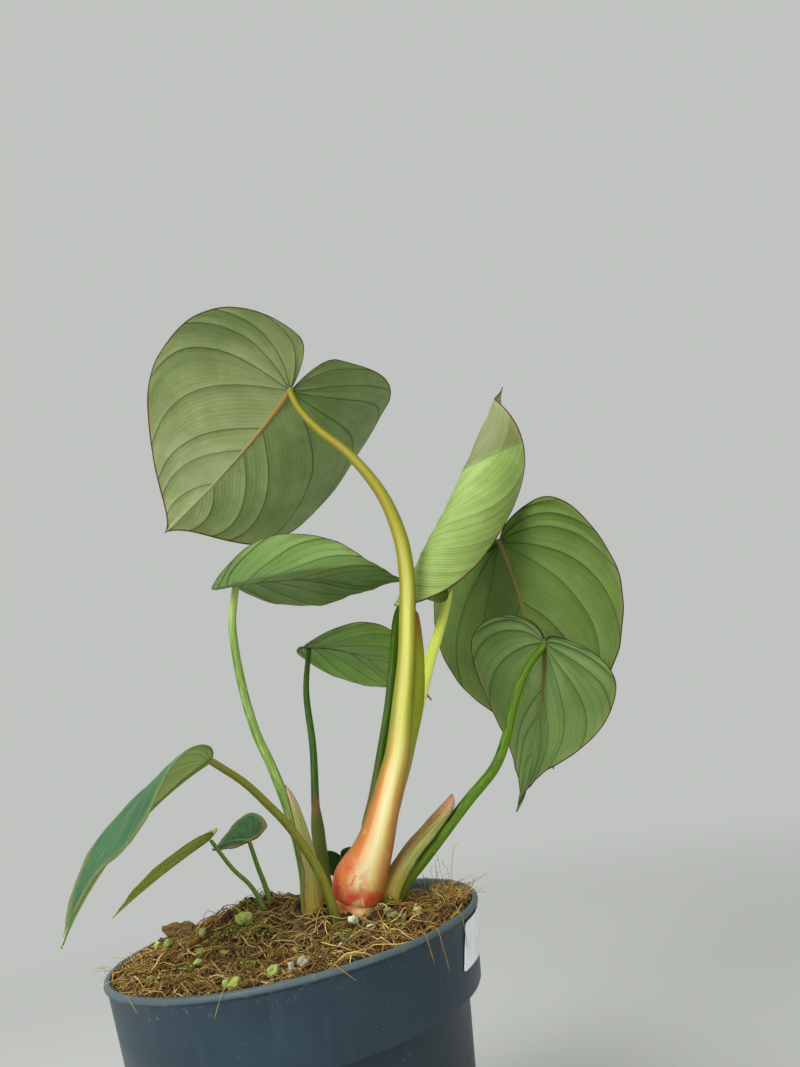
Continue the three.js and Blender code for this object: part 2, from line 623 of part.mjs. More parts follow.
function ringSolid(profile, segments) {
  const geometry = new THREE.LatheGeometry(profile.map(([r, z]) => new THREE.Vector2(r, z)), segments);
  geometry.rotateX(Math.PI / 2);
  return geometry;
}

function collarRadius(z) {
  const foot = POT_HEIGHT - COLLAR_HEIGHT;
  return THREE.MathUtils.mapLinear(z, foot, POT_HEIGHT, COLLAR_FOOT_RADIUS, RIM_RADIUS - LIP_OUT);
}

function bodyRadius(z) {
  return THREE.MathUtils.mapLinear(z, 0, POT_HEIGHT - COLLAR_HEIGHT, FOOT_RADIUS, BODY_TOP_RADIUS);
}

function potGeometry() {
  const step = POT_HEIGHT - COLLAR_HEIGHT;
  const lipFoot = POT_HEIGHT - LIP_HEIGHT;
  const profile = [
    [0, 0], [FOOT_RADIUS - FOOT_ROUND, 0], [FOOT_RADIUS, FOOT_ROUND],
    [bodyRadius(step - EDGE_ROUND), step - EDGE_ROUND], [COLLAR_FOOT_RADIUS - EDGE_ROUND, step],
    [COLLAR_FOOT_RADIUS, step + EDGE_ROUND], [collarRadius(lipFoot), lipFoot],
    [RIM_RADIUS, lipFoot + EDGE_ROUND], [RIM_RADIUS, POT_HEIGHT - EDGE_ROUND],
    [RIM_RADIUS - EDGE_ROUND, POT_HEIGHT],
    [RIM_RADIUS - WALL - LIP_OUT, POT_HEIGHT], [collarRadius(step + WALL) - WALL, step + WALL],
    [bodyRadius(step) - WALL, step + WALL], [bodyRadius(FLOOR) - WALL, FLOOR], [0, FLOOR],
  ];
  const hole = new THREE.CylinderGeometry(DRAIN_RADIUS, DRAIN_RADIUS, 6 * FLOOR, DRAIN_SIDES);
  hole.rotateX(Math.PI / 2);
  const holes = [];
  for (let i = 0; i < DRAIN_HOLES; i += 1) {
    const turn = (2 * Math.PI * (i + 0.5)) / DRAIN_HOLES;
    holes.push(hole.clone().translate(DRAIN_CIRCLE * Math.cos(turn), DRAIN_CIRCLE * Math.sin(turn), 0));
  }
  return cut(ringSolid(profile, POT_SEGMENTS), ...holes);
}

// A curved patch that lies on the collar
function stickerGeometry() {
  const points = [];
  const triangles = [];
  for (let i = 0; i <= STICKER.steps; i += 1) {
    const upright = THREE.MathUtils.lerp(STICKER.from, STICKER.to, i / STICKER.steps);
    for (const [z, out] of [[STICKER.low, 0], [STICKER.high, 0], [STICKER.high, 1], [STICKER.low, 1]]) {
      const turn = rad(upright + (z === STICKER.high ? 0.5 : -0.5) * STICKER.slant);
      const radius = collarRadius(z) + GAP + out * STICKER.thickness;
      points.push(new THREE.Vector3(radius * Math.cos(turn), radius * Math.sin(turn), z));
    }
  }
  for (let i = 0; i < STICKER.steps; i += 1) {
    for (let k = 0; k < 4; k += 1) {
      const a = 4 * i + k;
      const b = 4 * i + ((k + 1) % 4);
      triangles.push([a, b, b + 4], [a, b + 4, a + 4]);
    }
  }
  const end = 4 * STICKER.steps;
  triangles.push([0, 2, 1], [0, 3, 2], [end, end + 1, end + 2], [end, end + 2, end + 3]);
  return solid(points, triangles);
}

function bump({ x, y, spread, rise }, px, py) {
  return rise * Math.exp(-((px - x) ** 2 + (py - y) ** 2) / (2 * spread * spread));
}

function soilHeight(x, y) {
  const lumps = 1.1 * Math.sin(0.21 * x + 1.3) * Math.cos(0.17 * y)
    + 0.8 * Math.sin(0.37 * x - 0.29 * y) + 0.6 * Math.cos(0.49 * y + 0.23 * x + 2);
  return SOIL_LEVEL + bump(MOUND, x, y) + bump(CROWN_RISE, x, y) + bump(DIP, x, y) + lumps;
}

function soilBed() {
  const step = POT_HEIGHT - COLLAR_HEIGHT;
  const wallGap = WALL + GAP + SOIL_SLACK;
  const topRadius = collarRadius(SOIL_LEVEL + DIP.rise) - wallGap - SOIL_SLACK;
  const shelf = step + wallGap;
  const points = [new THREE.Vector3(0, 0, soilHeight(0, 0))];
  const rings = [];
  const addRing = (radius, height) => {
    rings.push(points.length);
    for (let k = 0; k < SOIL_SEGMENTS; k += 1) {
      const turn = (2 * Math.PI * k) / SOIL_SEGMENTS;
      const x = radius * Math.cos(turn);
      const y = radius * Math.sin(turn);
      points.push(new THREE.Vector3(x, y, height ?? soilHeight(x, y) - (radius >= topRadius ? 2 : 0)));
    }
  };
  for (let i = 1; i <= SOIL_RINGS; i += 1) addRing((topRadius * i) / SOIL_RINGS);
  addRing(collarRadius(shelf) - wallGap, shelf);
  addRing(bodyRadius(step) - wallGap, shelf);
  addRing(bodyRadius(FLOOR) - wallGap, FLOOR + GAP);
  points.push(new THREE.Vector3(0, 0, FLOOR + GAP));
  const triangles = [];
  const last = points.length - 1;
  for (let k = 0; k < SOIL_SEGMENTS; k += 1) {
    const n = (k + 1) % SOIL_SEGMENTS;
    triangles.push([0, rings[0] + k, rings[0] + n]);
    for (let i = 0; i < rings.length - 1; i += 1) {
      const [a, b, c, d] = [rings[i] + k, rings[i + 1] + k, rings[i + 1] + n, rings[i] + n];
      triangles.push([a, b, c], [a, c, d]);
    }
    triangles.push([rings[rings.length - 1] + k, last, rings[rings.length - 1] + n]);
  }
  return solid(points, triangles);
}

// A three-sided fibre that arches over the soil with both ends sunk in
function fibreGeometry(x, y, heading, length, arch) {
  const { steps, thick, sunk } = FIBRES;
  const points = [];
  const triangles = [];
  for (let i = 0; i <= steps; i += 1) {
    const t = i / steps;
    const cx = x + length * (t - 0.5) * Math.cos(heading);
    const cy = y + length * (t - 0.5) * Math.sin(heading);
    const limit = Math.min(1, (FIBRES.reach + 8) / Math.hypot(cx, cy));
    const centre = new THREE.Vector3(cx * limit, cy * limit, 0);
    centre.z = soilHeight(centre.x, centre.y) + arch * Math.sin(Math.PI * t) - sunk;
    for (let k = 0; k < 3; k += 1) {
      const turn = (2 * Math.PI * k) / 3;
      const across = thick * Math.cos(turn);
      const rise = thick * Math.sin(turn);
      const side = new THREE.Vector3(-across * Math.sin(heading), across * Math.cos(heading), rise);
      points.push(centre.clone().add(side));
    }
  }
  for (let i = 0; i < steps; i += 1) {
    for (let k = 0; k < 3; k += 1) {
      const a = 3 * i + k;
      const b = 3 * i + ((k + 1) % 3);
      triangles.push([a, b, b + 3], [a, b + 3, a + 3]);
    }
  }
  triangles.push([0, 2, 1], [3 * steps, 3 * steps + 1, 3 * steps + 2]);
  return solid(points, triangles);
}

function crumbGeometry(x, y, size, draw) {
  const crumb = new THREE.IcosahedronGeometry(size, 0);
  crumb.scale(1, 0.7 + 0.3 * draw(), 0.7);
  crumb.rotateZ(Math.PI * draw());
  return crumb.translate(x, y, soilHeight(x, y) + 0.25 * size);
}

// The soil bed with its crumbs and fibres grown on, and a plain hole for each thing that
// stands in it
function soilGeometry(standing) {
  const draw = randomSource(4711);
  let body = toManifold(soilBed());
  const crumbs = [...LARGE_CRUMBS];
  for (let i = 0; i < CRUMBS.count; i += 1) {
    const turn = 2 * Math.PI * draw();
    const out = CRUMBS.reach * Math.sqrt(draw());
    const size = THREE.MathUtils.lerp(CRUMBS.smallest, CRUMBS.largest, draw());
    crumbs.push([out * Math.cos(turn), out * Math.sin(turn), size]);
  }
  for (const [x, y, size] of crumbs) body = body.add(toManifold(crumbGeometry(x, y, size, draw)));
  for (let i = 0; i < FIBRES.count; i += 1) {
    const turn = 2 * Math.PI * draw();
    const out = FIBRES.reach * Math.sqrt(draw());
    const heading = 2 * Math.PI * draw();
    const length = THREE.MathUtils.lerp(FIBRES.shortest, FIBRES.longest, draw());
    const arch = THREE.MathUtils.lerp(FIBRES.arch, FIBRES.highest, draw());
    const fibre = fibreGeometry(out * Math.cos(turn), out * Math.sin(turn), heading, length, arch);
    body = body.add(toManifold(fibre));
  }
  for (const tool of standing) body = body.subtract(toManifold(tool));
  return largestPiece(toGeometry(body));
}

function rhizomeGeometry(extra = 0) {
  const radius = RHIZOME.radius + extra;
  const profile = [
    [0, RHIZOME.low - extra], [radius - RHIZOME.bevel, RHIZOME.low - extra],
    [radius, RHIZOME.low - extra + RHIZOME.bevel], [radius, RHIZOME.high + extra],
    [0, RHIZOME.high + extra],
  ];
  return ringSolid(profile, RHIZOME.sides).translate(RHIZOME.x, RHIZOME.y, 0);
}

const group = new THREE.Group();

function addMesh(name, geometry, colour, roughness) {
  const material = new THREE.MeshStandardMaterial({ color: colour, roughness, metalness: 0 });
  const mesh = new THREE.Mesh(geometry, material);
  mesh.name = name;
  group.add(mesh);
}

// Stalks give way to the blades they carry and to the thicker stalks that they spring from
const swollen = (name) => stalkGeometry(STALKS[name], GAP);
const blades = Object.fromEntries(Object.keys(LEAVES).map((name) => [name, bladeGeometry(LEAVES[name])]));
const gaps = Object.fromEntries(Object.keys(LEAVES)
  .map((name) => [name, bladeGeometry(LEAVES[name], GAP, 2)]));
const stalks = {};
for (const [name, stalk] of Object.entries(STALKS)) {
  const tools = [gaps[name.replace('stalk', 'leaf')]];
  if (name === 'stalk_b' || name === 'stalk_c') tools.push(swollen('stalk_a'));
  stalks[name] = cut(stalkGeometry(stalk), ...tools);
}
const sheaths = {};
for (const [name, sheath] of Object.entries(SHEATHS)) {
  const own = name.replace('sheath', 'stalk');
  sheaths[name] = cut(sheathGeometry(sheath), swollen(own), swollen('stalk_a'), swollen('stalk_c'),
    rhizomeGeometry(GAP));
}

addMesh('pot', potGeometry(), 0x3c4e5a, 0.45);
addMesh('sticker', stickerGeometry(), 0xf0f2f3, 0.6);
addMesh('rhizome', cut(rhizomeGeometry(), swollen('stalk_a')), 0xe8b98a, 0.5);
for (const [name, geometry] of Object.entries(stalks)) addMesh(name, geometry, STALKS[name].colour, 0.4);
for (const [name, geometry] of Object.entries(sheaths)) addMesh(name, geometry, SHEATHS[name].colour, 0.55);
for (const [name, geometry] of Object.entries(blades)) addMesh(name, geometry, LEAVES[name].colour, 0.45);

const inSoil = ['stalk_d', 'stalk_e', 'stalk_f', 'stalk_g', 'stalk_h', 'stalk_i', 'stalk_j'].map(swollen);
inSoil.push(rhizomeGeometry(GAP), swollen('stalk_a'));
for (const name of ['sheath_d', 'sheath_e', 'sheath_f']) inSoil.push(sheathGeometry(SHEATHS[name], GAP));
addMesh('soil', soilGeometry(inSoil), 0x5a4330, 0.95);

export default group;
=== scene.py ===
import bmesh
import bpy
import numpy as np
from mathutils import Matrix, Vector


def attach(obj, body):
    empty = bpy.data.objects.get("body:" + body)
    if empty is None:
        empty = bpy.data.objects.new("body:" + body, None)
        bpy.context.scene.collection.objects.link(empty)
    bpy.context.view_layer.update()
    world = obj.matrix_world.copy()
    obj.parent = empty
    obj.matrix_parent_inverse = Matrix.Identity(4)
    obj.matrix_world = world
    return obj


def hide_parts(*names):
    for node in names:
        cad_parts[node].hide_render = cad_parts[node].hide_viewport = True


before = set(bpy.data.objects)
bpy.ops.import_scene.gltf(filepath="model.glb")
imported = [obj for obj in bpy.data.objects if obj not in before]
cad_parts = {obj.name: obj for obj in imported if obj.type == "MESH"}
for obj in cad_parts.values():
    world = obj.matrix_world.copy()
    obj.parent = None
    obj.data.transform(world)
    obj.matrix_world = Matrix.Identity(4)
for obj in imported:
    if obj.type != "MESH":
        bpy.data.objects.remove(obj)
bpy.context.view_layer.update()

MM = 0.001

# Camera, from the photo's rim ellipse: place in mm, angles in degrees
PHOTO_SIZE = (800, 1067)
FOCAL_PIXELS = 801.0
CAMERA_PLACE = (82.0, -401.0, 231.0)
CAMERA_PITCH = 13.2
CAMERA_ROLL = -11.1
SENSOR = 36.0

# Pot, in mm, with the lip's rounded top in degrees and how close welded points lie
POT_HEIGHT = 150.0
RIM_RADIUS = 85.0
LIP_HEIGHT = 3.0
LIP_OUT = 1.0
COLLAR_HEIGHT = 34.0
COLLAR_FOOT_RADIUS = 79.6
BODY_TOP_RADIUS = 73.7
FOOT_RADIUS = 60.0
WALL = 1.6
FLOOR = 2.0
POT_SEGMENTS = 192
DRAIN_HOLES = 8
DRAIN_RADIUS = 4.0
DRAIN_CIRCLE = 44.0
LIP_ARC = (-80, 80)
WELD_DISTANCE = 0.0001

# Label: ends in degrees round the pot, how far its top leans over from its foot in degrees,
# foot and top, and its gap to the collar and thickness in mm
STICKER = {"from": -24.5, "to": 5.5, "slant": 3.6, "low": 128.0, "high": 145.8, "lift": 0.3, "thick": 0.35}

# Soil surface: its level, two rises and a dip, each with its place, spread and height in mm
SOIL_LEVEL = 147.5
MOUND = {"x": -22.0, "y": 8.0, "spread": 22.0, "rise": 14.0}
CROWN_RISE = {"x": 32.0, "y": -5.0, "spread": 26.0, "rise": 7.5}
DIP = {"x": 60.0, "y": 42.0, "spread": 20.0, "rise": -8.0}
SOIL_SEGMENTS = 300
SOIL_GAP = 0.3

# Strands that lie on the soil: how many, shortest and longest, thinnest and thickest in mm,
# how high they arch and how much they curl
STRAW = dict(count=190, short=24, long=56, thin=0.30, thick=0.60, lift=1.8, curl=0.3)
COARSE_FIBRES = dict(count=1150, short=12, long=40, thin=0.17, thick=0.34, lift=1.2, curl=0.8)
FINE_FIBRES = dict(count=2600, short=8, long=30, thin=0.08, thick=0.15, lift=1.5, curl=1.0)
STRAND_REACH = 80.0
LYING_POINTS = 9
STANDING_POINTS = 8

# Other litter: how many crumbs and moss patches, and how far out they may lie in mm
CRUMBS = 1500
CRUMB_REACH = 80
CRUMB_LIMIT = 81
MOSS_PATCHES = 34
MOSS_REACH = 76
MOSS_LIMIT = 79
LITTER_SEED = 5
PERLITE_SCALE = 1.25
# Perlite grains, as in the photo: x, y, radius in mm, and how green each is
PERLITE = [
    (9, -66, 1.7, 0.1), (31, -34, 1.5, 0.2), (48, -30, 1.3, 0.6), (38, -39, 1.4, 0.0), (-60, -2, 2.0, 0.9),
    (-38, -26, 1.6, 0.8), (-20, -14, 3.0, 0.9), (-12, -72, 1.9, 0.9), (3, -72, 2.2, 0.8), (58, -22, 1.5, 0.7),
    (52, -30, 1.3, 0.8), (13, -63, 2.0, 0.2), (-15, -71, 1.5, 0.9), (26, -46, 1.0, 0.3), (-40, -13, 1.6, 0.7),
    (7, -45, 1.2, 0.8), (45, -23, 1.8, 0.6), (-70, 12, 1.6, 0.9), (-36, -37, 1.4, 0.8), (-54, -43, 1.3, 0.9),
    (-26, -32, 1.5, 0.9), (20, -60, 1.0, 0.1), (40, 55, 1.8, 0.4), (-20, 60, 2.0, 0.5), (-55, 40, 1.7, 0.6),
    (5, 66, 1.5, 0.2), (60, 20, 1.3, 0.3), (-45, 20, 1.6, 0.7), (-2, 40, 1.8, 0.5), (30, 70, 1.4, 0.3),
]
# Bark chip: place, size, squash along three directions and height over the soil
BARK = {"x": -65.0, "y": 30.0, "size": 8.0, "squash": (1.0, 0.24, 0.6), "lift": 4.2}
# Tuft at the right rim: where it stands in degrees and mm out, how many strands, their height,
# and how many more stand taller
RIM_TUFT = {"turn": (-14, 34), "out": (69, 80), "strands": 210, "height": 14.0, "long": 12, "tall": 38.0}
# Spots at the left rim where single fibres stand up, and their height in mm
WISPS = [(-78, -12), (-79, -4), (-77, -20), (-79, 4), (-75, -27), (-71, -34), (-78, 8), (-66, -42)]
WISP_HEIGHT = 13.0
# More single strands, and their height in mm
STRAYS = [(-58, -38), (-62, -30), (-50, 30), (-20, 50), (8, 20), (-66, -20), (60, -36), (64, -20)]
STRAY_HEIGHT = 17.0
# Strands that hang over the rim: place in degrees, how far they fall in mm and drift in degrees
OVER_RIM = [(-42, 17, 6), (-46, 11, 4), (-74, 6, 8), (-28, 13, 3), (-96, 8, -6), (-132, 5, 5)]
OVER_RIM_RADIUS = 0.15

# Veins are numbered from 0 at the tip to 1 at the notch. From BASE_VEIN on they all leave
# from the leaf's foot. VEIN_WIDTH and MINOR_WIDTH are their widths in mm. EDGE_THICK is half the
# blade's thickness in mm at its margin and EXTRA_THICK what it gains further in.
BASE_VEIN = 0.40
VEIN_CROWDING = 1.45
VEIN_LEAVE = 46.0
VEIN_ARRIVE = 24.0
VEIN_REACH = 0.42
VEIN_WIDTH = 0.42
MINOR_WIDTH = 0.28
EDGE_THICK = 0.16
EXTRA_THICK = 0.12
MAIN_VEINS = np.array([0, 0.14, 0.23, 0.29, 0.40, 0.56, 0.72, 0.82, 0.93, 1])
MINOR_VEINS = np.array([0.07, 0.105, 0.185, 0.26, 0.327, 0.362, 0.453, 0.507, 0.613, 0.667, 0.77,
                        0.875, 0.965])
RIB_END = 0.93
LINES_PER_MM = 4.6
SMALL_STEP = 1e-3

# Each leaf: foot is where its stalk joins, heading, climb and roll turn it, length is foot to
# tip along the midrib. right, left, widest, lobe and spread shape the outline in parts of the
# length, with right_lobe for a right half whose lobe, spread and roundness differ, and taper for
# a tip that is not the usual one. droop and back bend the midrib, fold and curl shape the
# halves, twist turns the tip. quilt and wave are the relief and rib the midrib's radius in mm,
# rows and columns the mesh.
LEAVES = {
    "leaf_a": dict(
        foot=(34, 45, 435), heading=126, climb=-10, roll=50, length=128,
        right=0.67, left=0.63, widest=0.36, lobe=0.30, spread=0.11, droop=88, back=15,
        fold_right=20, fold_left=10, curl_right=66, curl_left=-27, twist=-22,
        quilt=1.1, wave=0.8, rib=1.9, rows=150, columns=34),
    "leaf_b": dict(
        foot=(99, 42, 316), heading=5, climb=55, roll=108, length=125,
        right=0.44, left=0.50, widest=0.27, lobe=0.295, spread=0.23,
        right_lobe=(0.18, 0.02, 0.6), taper=(0.79, 0.01), droop=19, back=0,
        fold_right=-15, fold_left=15, curl_right=330, curl_left=199, twist=-29,
        quilt=0.3, wave=0, rib=1.7, rows=130, columns=44),
    "leaf_c": dict(
        foot=(137, 50, 320), heading=19, climb=-79, roll=-23, length=128,
        right=0.52, left=0.55, widest=0.31, lobe=0.10, spread=0.26, droop=28, back=15,
        fold_right=10, fold_left=9, curl_right=-24, curl_left=-21, twist=7,
        quilt=1.1, wave=0.8, rib=1.8, rows=150, columns=34),
    "leaf_d": dict(
        foot=(144, 12, 257), heading=104, climb=-60, roll=59, length=90,
        right=0.50, left=0.54, widest=0.14, lobe=0.10, spread=0.21, taper=(0.78, 0.005), droop=38, back=17,
        fold_right=-37, fold_left=23, curl_right=68, curl_left=-56, twist=-12,
        quilt=0.9, wave=0.6, rib=1.9, rows=130, columns=30),
    "leaf_e": dict(
        foot=(-11, 25, 321), heading=8.5, climb=-3, roll=15, length=96,
        right=0.55, left=0.56, widest=0.21, lobe=0.12, spread=0.12, droop=11, back=16,
        fold_right=-7, fold_left=6, curl_right=58, curl_left=-38, twist=30,
        quilt=0.9, wave=0.7, rib=1.5, rows=130, columns=30),
    "leaf_f": dict(
        foot=(18, 62, 284), heading=18, climb=-10, roll=-1, length=81,
        right=0.56, left=0.54, widest=0.28, lobe=0.06, spread=0.20, droop=45, back=15,
        fold_right=-12, fold_left=6, curl_right=36, curl_left=-22, twist=21,
        quilt=0.7, wave=0.4, rib=1.2, rows=110, columns=24),
    "leaf_g": dict(
        foot=(-13, -63, 231.5), heading=175.5, climb=-21.5, roll=39, length=86.6,
        right=0.30, left=0.50, widest=0.29, lobe=0.07, spread=0.13, right_lobe=(0.01, 0.06, 0.6),
        droop=59, back=15,
        fold_right=61, fold_left=-11, curl_right=-4, curl_left=-64, twist=29,
        quilt=0.6, wave=0.3, rib=1.3, rows=110, columns=24),
    "leaf_h": dict(
        foot=(-34, -6, 196.5), heading=182, climb=-24, roll=-5, length=55,
        right=0.28, left=0.30, widest=0.30, lobe=0.08, spread=0.10, droop=8, back=15,
        fold_right=15, fold_left=22, curl_right=-12, curl_left=-6, twist=4,
        quilt=0.3, wave=0.2, rib=0.9, rows=80, columns=18),
    "leaf_i": dict(
        foot=(-19, 8, 191), heading=142, climb=7, roll=15, length=27,
        right=0.59, left=0.46, widest=0.34, lobe=0.12, spread=0.35,
        right_lobe=(0.22, 0.34, 0.05), droop=25, back=15,
        fold_right=53, fold_left=-14, curl_right=10, curl_left=-12, twist=4,
        quilt=0.3, wave=0.2, rib=0.8, rows=70, columns=16),
    "leaf_j": dict(
        foot=(20.7, 32, 173), heading=80, climb=-35, roll=0, length=28,
        right=0.45, left=0.45, widest=0.30, lobe=0.25, spread=0.24, droop=25, back=30,
        fold_right=10, fold_left=10, curl_right=-20, curl_left=-20, twist=0,
        quilt=0.3, wave=0.2, rib=0.8, rows=70, columns=16),
}

# Each stalk: centre line from the soil to the leaf's foot, and its radius at each point
STALKS = {
    "stalk_a": dict(
        points=[(31, -9, 160), (33, -9, 165.5), (36, -9, 170), (40.2, -8.8, 176),
                (44.8, -8.3, 184), (50.5, -7.3, 196), (56.3, -6, 208.5), (61.4, -5, 220),
                (67.4, -3, 241), (73, -1.5, 261), (77.5, 1, 282), (81.3, 4, 304),
                (81.5, 9, 327), (76, 19, 354), (63, 30, 382), (47, 37, 404), (38, 41, 420),
                (34, 44, 433)],
        radii=[11.4, 12.3, 11.6, 9.8, 8.3, 7.1, 6.5, 6.1, 5.2, 4.6, 4.3, 4.1, 3.8, 3.3, 2.9, 2.5, 2.2, 2.1],
        sides=48, foot_depth=5.0),
    "stalk_b": dict(
        points=[(45.5, -0.5, 179), (49.5, 4, 188), (56, 8, 202), (64, 11, 219), (74.5, 15, 239),
                (84.6, 20, 260.2), (92.4, 30, 274.8), (99.9, 45, 290.4), (102.6, 49, 299),
                (103.6, 50, 309), (100, 45, 316)],
        radii=[3.2, 3.2, 3.2, 3.2, 3.1, 3, 2.7, 2.4, 2.4, 2.4, 2.3], sides=32),
    "stalk_c": dict(
        points=[(37.2, -1.5, 179), (40, 1.2, 189), (44.8, 3.2, 200), (52.3, 5.5, 220),
                (60.6, 8.5, 243.5), (66.7, 14, 266), (73.6, 30, 290), (88, 50, 305),
                (104, 60, 312), (122, 58, 317), (136, 51.5, 320)],
        radii=[2.5, 2.5, 2.4, 2.3, 2.3, 2.3, 2.3, 2.2, 2.1, 2, 1.9], sides=28),
    "stalk_d": dict(
        points=[(45.5, -3.5, 148), (49, -2.5, 155.5), (55, -1, 162.3), (63.7, 1.2, 169), (74, 3.2, 177.3),
                (89, 5, 189.7), (105, 6, 202.3), (114, 7, 215.5), (121, 9, 230),
                (131.5, 10, 246), (143, 12, 256)],
        radii=[3.4, 3.3, 3.2, 3, 2.8, 2.6, 2.5, 2.4, 2.3, 2.2, 2], sides=28),
    "stalk_e": dict(
        points=[(7.3, -6, 146), (8.4, -5.5, 163), (8.7, -5, 174), (6.9, -3, 189), (3.4, 0, 206),
                (-2, 4.5, 224), (-8.6, 9.5, 243), (-13.6, 16, 270), (-15, 21, 298),
                (-11, 25, 320)],
        radii=[4.2, 3.8, 3.3, 2.8, 2.5, 2.3, 2.2, 2.2, 2.1, 1.9], sides=28),
    "stalk_f": dict(
        points=[(12, 20, 146), (12, 20, 171), (12.8, 24.5, 196), (15, 35, 228), (14, 49, 258),
                (17.5, 61.5, 282.5)],
        radii=[3.2, 2.9, 2.2, 1.9, 1.7, 1.4], sides=24),
    "stalk_g": dict(
        points=[(23.5, -23.5, 146), (21.5, -25, 162), (18.8, -27, 175), (14.6, -30, 187),
                (9.3, -35, 199), (3.5, -41, 209), (-3, -50, 220), (-12, -62, 231)],
        radii=[2.3, 2.2, 2.1, 2, 1.8, 1.7, 1.6, 1.5], sides=24),
    "stalk_h": dict(
        points=[(-11, -2, 148), (-14.3, -2, 163), (-18.4, -3, 172.7), (-25.2, -4.5, 181.7),
                (-32.8, -5.6, 195.2)],
        radii=[1.15, 1.1, 1, 0.95, 0.9], sides=20),
    "stalk_i": dict(
        points=[(-11.5, 6, 148), (-12.2, 6.5, 161), (-14, 7.6, 170), (-16.2, 8, 178.5),
                (-18.5, 8, 190)],
        radii=[1.35, 1.3, 1.2, 1.1, 1], sides=20),
    "stalk_j": dict(
        points=[(20, 24, 146), (21, 27, 161), (20.7, 31, 172)],
        radii=[1.6, 1.5, 1.2], sides=20),
}

# Each sheath: centre line, radius and covered arc in degrees at each point, and the arc's middle
SHEATHS = {
    "sheath_b": dict(
        points=[(48, 3, 187), (52, 5.5, 198), (58, 7, 212), (64.6, 7.5, 226), (71.2, 7.5, 243),
                (74.8, 8.3, 260), (76.8, 9.2, 274.5), (77.6, 11, 285)],
        radii=[5.5, 6.4, 7, 7, 7, 6.9, 6.5, 5.8], arcs=[110, 115, 115, 115, 115, 115, 110, 90], facing=-42),
    "sheath_d": dict(
        points=[(43.5, -5, 147), (46.5, -4.5, 159), (56, -1.5, 169.9), (67, 1.8, 178.6),
                (76.2, 3.6, 185.6), (84.2, 4.6, 192.4)],
        radii=[5.6, 5.8, 5.2, 4.7, 4.1, 3.2], arcs=[265, 270, 270, 265, 245, 190], facing=195),
    "sheath_e": dict(
        points=[(8.5, -5, 147), (9.6, -5, 165), (10.2, -4.5, 175), (8.8, -3.5, 185),
                (6.7, -1.5, 197), (4, 1, 208), (1.8, 2.6, 212.5)],
        radii=[5.4, 4.9, 4.7, 4.6, 4.1, 3.2, 2.4], arcs=[220, 210, 200, 180, 150, 110, 50], facing=-15),
    "sheath_f": dict(
        points=[(12.2, 20, 147), (12.2, 20, 171), (12.6, 23.2, 188), (13.2, 26, 206)],
        radii=[4.3, 3.9, 3.2, 2.2], arcs=[250, 240, 210, 60], facing=-60),
}
# Short stem below the stalks, and the root nub on its front, in mm
RHIZOME = {"x": 30.5, "y": -9.0, "low": 138.0, "high": 162.0, "radius": 10.4}
ROOT_NUB = {"place": (34.5, -20.6, 159.0), "size": (1.0, 0.8, 1.9)}
# Sheaths: thickness in mm, strips across, and where across them the keel lies from 0 to 1
SHEATH_THICK = 0.45
SHEATH_STRIPS = 28
SHEATH_RIDGE = 0.62

# Studio: lamps with places and sizes in metres and power in watts, the wall in display values
# and the floor in linear ones
LAMPS = {
    "key": dict(place=(-0.65, -1.0, 0.95), aim=(0.03, 0.0, 0.28), size=0.8, power=16,
                colour=(1.0, 0.985, 0.95)),
    "fill": dict(place=(0.5, -1.3, 0.35), aim=(0.05, 0.0, 0.25), size=1.2, power=5,
                 colour=(1.0, 0.99, 0.96)),
    "top": dict(place=(-0.3, 0.15, 1.4), aim=(0.03, 0.0, 0.25), size=0.8, power=10,
                colour=(1.0, 1.0, 1.0)),
}
WALL_GREY = (192, 195, 191)
FLOOR_GREY = (0.45, 0.46, 0.45, 1.0)
FLOOR_RADIUS = 4
FLOOR_SIDES = 128
FLOOR_DROP = 0.0002
FLOOR_FADE = (0.35, 1.1)


# Small tools

def unit(vectors):
    """Vectors of length one along the last axis."""
    return vectors / np.maximum(np.linalg.norm(vectors, axis=-1, keepdims=True), 1e-12)


def ripple(points, size, seed, waves=9):
    """A smooth random value from about -1 to 1 at each point, with lumps of a size in mm."""
    draw = np.random.default_rng(seed)
    aim = unit(draw.normal(size=(waves, points.shape[-1])))
    phase = draw.uniform(0, 2 * np.pi, waves)
    length = size * draw.uniform(0.7, 1.8, waves)
    value = np.sin(points @ (aim.T * 2 * np.pi / length) + phase)
    return value.sum(axis=-1) / np.sqrt(waves)


def circle(count):
    """Turns in radians, spaced evenly once round."""
    return np.linspace(0, 2 * np.pi, count, endpoint=False)


def polar(radius, turn, height):
    """Points at a radius and a turn round the upright axis."""
    return np.stack(np.broadcast_arrays(radius * np.cos(turn), radius * np.sin(turn), height), -1)


def step(value, low, high):
    """0 below low, 1 above high and a smooth rise between."""
    part = np.clip((value - low) / (high - low), 0, 1)
    return part * part * (3 - 2 * part)


def through(values, parts):
    """Catmull-Rom values through a list, at parts from 0 to 1 of its length."""
    knots = np.asarray(values, float)
    if knots.ndim == 1:
        knots = knots[:, None]
    knots = np.concatenate([[2 * knots[0] - knots[1]], knots, [2 * knots[-1] - knots[-2]]])
    place = np.clip(parts, 0, 1) * (len(knots) - 3)
    first = np.minimum(place.astype(int), len(knots) - 4)
    t = (place - first)[:, None]
    p0, p1, p2, p3 = (knots[first + k] for k in range(4))
    return 0.5 * (2 * p1 + (p2 - p0) * t + (2 * p0 - 5 * p1 + 4 * p2 - p3) * t ** 2
                  + (3 * p1 - p0 - 3 * p2 + p3) * t ** 3)


